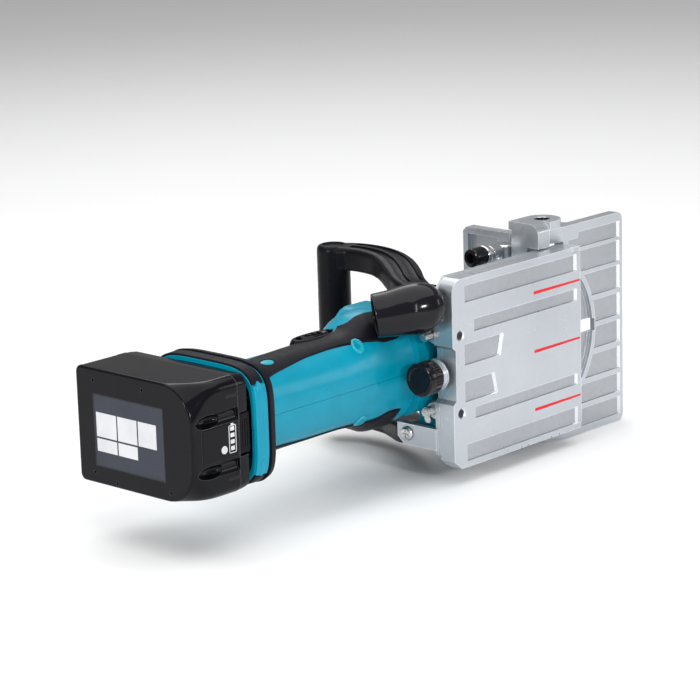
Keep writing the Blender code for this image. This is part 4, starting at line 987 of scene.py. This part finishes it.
def make_guide():
    low, high, disc = 14.9, 22.9, (-25.0, 0)
    outline = [(0.6, 75.2), (62.2, 75.2), (64.6, 74.4), (66.1, 72.6), (66.7, 70.2)]
    outline += [(x, -z) for x, z in reversed(outline)]
    guide = to_object("guide_plate", prism(outline, "xz", low, high), "cast")
    cutters = []
    panels = ((58.3, 68.4), (40.9, 54.9), (21.6, 37.2), (2.2, 17.2), (-16.6, -2.2), (-36.4, -21.6),
              (-53.6, -41.0), (-70.0, -58.2))
    for z_low, z_high in panels:
        rings = []
        for y, front, flare in ((low - 0.5, 64.0, 0.7), (low + 1.5, 61.8, 0.0)):
            rings.append([(6.0, y, z_low - flare), (front, y, z_low - flare), (front, y, z_high + flare),
                          (6.0, y, z_high + flare)])
        panel = to_object("panel", ring_loft(rings), None)
        cutters.append(carve(panel, turned("y", disc, [(low - 2.0, 60.6), (low + 3.0, 60.6)], 160)))
    cutters += [turned("y", disc, [(low - 2.0, 57.2), (low + 2.4, 57.2)], 160),
                turned("y", disc, [(low + 1.0, 54.6), (low + 3.2, 54.6)], 160),
                box((20.0, 62.7), (low + 4.0, high + 1.0), (-70.0, 70.0))]
    carve(guide, *cutters)
    ribs = [box((19.0, 63.2), (low + 3.5, high - 0.5), (z - 1.3, z + 1.3))
            for z in (-54.0, -32.0, -12.0, 14.0, 34.0, 54.0)]
    weld(guide, *ribs)
    carve(guide, box((15.0, 34.6), (low - 3.0, high + 3.0), (-4.0, 4.8)))
    for side in (-1, 1):
        shape = [(17.0, low), (17.0, low + 4.0), (12.0, 28.0), (10.0, 34.5), (5.5, 34.5), (1.5, 31.0)]
        shape += arc(*HINGE_LINE, 6.2, 90, 270, 16)
        shape.append((0.5, low))
        weld(guide, prism(shape, "xy", *sorted((side * 64.7, side * 75.2))))
        carve(guide, turned("z", HINGE_LINE, sorted([(side * 60.0, 3.4), (side * 80.0, 3.4)]), 32))
    finish_casting(guide, low, (1.5, 2.4, 3.2), 0.55)
    finish_piece(guide, "guide", "cast_aluminium", "angle_guide")


def make_lever():
    profile = [(53.5, 0.01), (53.5, 5.8), (54.3, 6.8), (63.2, 6.8), (64.2, 5.6), (64.2, 0.01)]
    hub = turned("z", (-24.5, LEVER_Y), profile, 48)
    lever = to_object("lock_lever", hub, "chrome")
    weld(lever, turned("x", (LEVER_Y, LEVER_Z), [(-41.0, 5.6), (-39.0, 5.7), (-36.0, 4.6), (-24.5, 4.0)],
                       40))
    add_bevel(lever, 0.3)
    finish_piece(lever, "fence_lock", "steel", "fence_lock_lever")
    profile = [(-55.0, 3.4), (-60.5, 3.4), (-60.5, 5.2), (-59.8, 6.2), (-58.0, 6.6), (-49.3, 6.6),
               (-48.6, 6.2), (-48.3, 5.4)]
    sleeve = turned("x", (LEVER_Y, LEVER_Z), profile, 48)
    add_piece("lock_lever_sleeve", sleeve, "gloss", "fence_lock", "black_plastic", "lock_lever_grip")
    profile = [(-48.1, 4.0), (-48.1, 6.2), (-47.4, 6.7), (-44.6, 6.7), (-41.3, 4.8), (-41.3, 4.0)]
    flare = turned("x", (LEVER_Y, LEVER_Z), profile, 48)
    add_piece("lock_lever_ferrule", flare, "chrome", "fence_lock", "steel")


def make_height_knob():
    x, y = -27.0, 62.0
    profile = [(-72.0, 0.01), (-72.0, 6.6), (-71.2, 8.0), (-70.0, 8.5), (-60.2, 8.5), (-58.7, 7.8),
               (-58.3, 6.6), (-58.3, 3.0), (-31.0, 3.0), (-31.0, 0.01)]

    def flute(_, radius, index):
        return radius - 0.7 if radius > 8.3 and index % 6 < 3 else radius

    add_piece("height_knob_body", turned("z", (x, y), profile, 120, flute), "black", "height_adjuster",
              "black_plastic", "height_knob", smooth=30)
    rings = []
    teeth = 12
    for z in (-52.4, -45.6):
        ring = []
        for index in range(teeth):
            for turn, radius in ((-0.66, 4.9), (-0.24, 6.75), (0.24, 6.75), (0.66, 4.9)):
                angle = (2 * index + turn) * math.pi / teeth
                ring.append((x + radius * math.cos(angle), y + radius * math.sin(angle), z))
        rings.append(ring)
    add_piece("height_pinion_teeth", ring_loft(rings), "steel", "height_adjuster", "steel", smooth=20)


def round_bracket(fence):
    """Rounds the long lower edge of the hinge bracket, and widens the hole over the pivot bolt."""
    radius, low, top = 8.0, 12.0, 81.8
    points = [(low - 2.0, top + 2.0), (low + radius, top + 2.0),
              *arc(low + radius, top - radius, radius, 90, 180, 12), (low - 2.0, top - radius)]
    edge = prism(points, "yz", -32.0, -17.2)
    carve(fence, edge, turned("z", HINGE_LINE, [(77.4, 5.6), (81.2, 5.6), (82.4, 6.4)], 48))


def make_pivot_bolt():
    profile = [(58.8, 0.01), (58.8, 3.0), (77.4, 3.0), (77.5, 5.2), (81.2, 5.5), (81.4, 5.3), (81.2, 4.9),
               (79.3, 4.5), (79.3, 0.01)]
    bolt = to_object("pivot_bolt_head", turned("z", HINGE_LINE, profile, 48), "black")
    socket = turned("z", HINGE_LINE, [(77.9, 2.7), (80.5, 2.7)], 6)
    carve(bolt, socket)
    finish_piece(bolt, "fence", "steel", "guide_pivot_bolt")


def make_springs():
    """Round-wire return springs on the guide rods, coiled at their rest length."""
    rear, front, turns, coil, wire = -74.4, -30.6, 7, 4.3, 0.45
    steps, sides = turns * 28, 10
    for side, name in SIDES:
        rings = []
        for index in range(steps + 1):
            angle = 2 * math.pi * turns * index / steps
            outward = Vector((0, math.cos(angle), math.sin(angle)))
            rise = (front - rear - 2 * wire) / (2 * math.pi * turns)
            along = Vector((rise, -coil * math.sin(angle), coil * math.cos(angle))).normalized()
            across = along.cross(outward)
            middle = Vector((rear + wire + rise * angle, ROD_Y, side * ROD_Z)) + coil * outward
            rings.append([middle + wire * (math.cos(turn) * outward + math.sin(turn) * across)
                          for turn in turn_angles(sides)])
        spring = to_object(f"return_spring_coil_{name}", ring_loft(rings), "steel")
        finish_piece(spring, "base", "steel", f"return_spring_{name}")
        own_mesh(spring)


def colour_flange(mesh):
    """The gear housing's rear flange is painted like the motor housing it joins."""
    mesh.materials.clear()
    for look in ("cast", "teal"):
        mesh.materials.append(MATERIALS[look])
    for face in mesh.polygons:
        face.material_index = int(face.center.x < (FLANGE_X + OFFSET[0]) * MM)


def dress_cad_nodes():
    """Gives the CAD's own pieces their finish; the three castings get rounded edges on a copy."""
    for look, names in CAD_LOOKS.items():
        for name in names:
            materials = NODES[name].data.materials
            materials.clear()
            materials.append(MATERIALS[look])
    for name, body, width in (("base_casting", "base", 0.5), ("fence_body", "fence", 0.6),
                              ("gear_housing", "motor_unit", 0.6)):
        mesh = NODES[name].data.copy()
        copy = add_object(f"{name}_finished", mesh)
        if name == "fence_body":
            web = [(-17.0, 47.6), (-13.4, 47.6), (-9.0, 49.6), (-9.0, 58.0), (-17.0, 58.0)]
            weld(copy, prism(web, "xy", 60.0, 70.0))
            round_bracket(copy)
        if name == "gear_housing":
            colour_flange(mesh)
        add_bevel(copy, width)
        finish_piece(copy, body, "cast_aluminium", name)


make_stage()
dress_cad_nodes()
make_housing()
make_switch()
make_holder()
make_battery()
make_cover()
make_knob()
make_nozzle()
make_handle()
make_guide()
make_lever()
make_height_knob()
make_pivot_bolt()
make_springs()
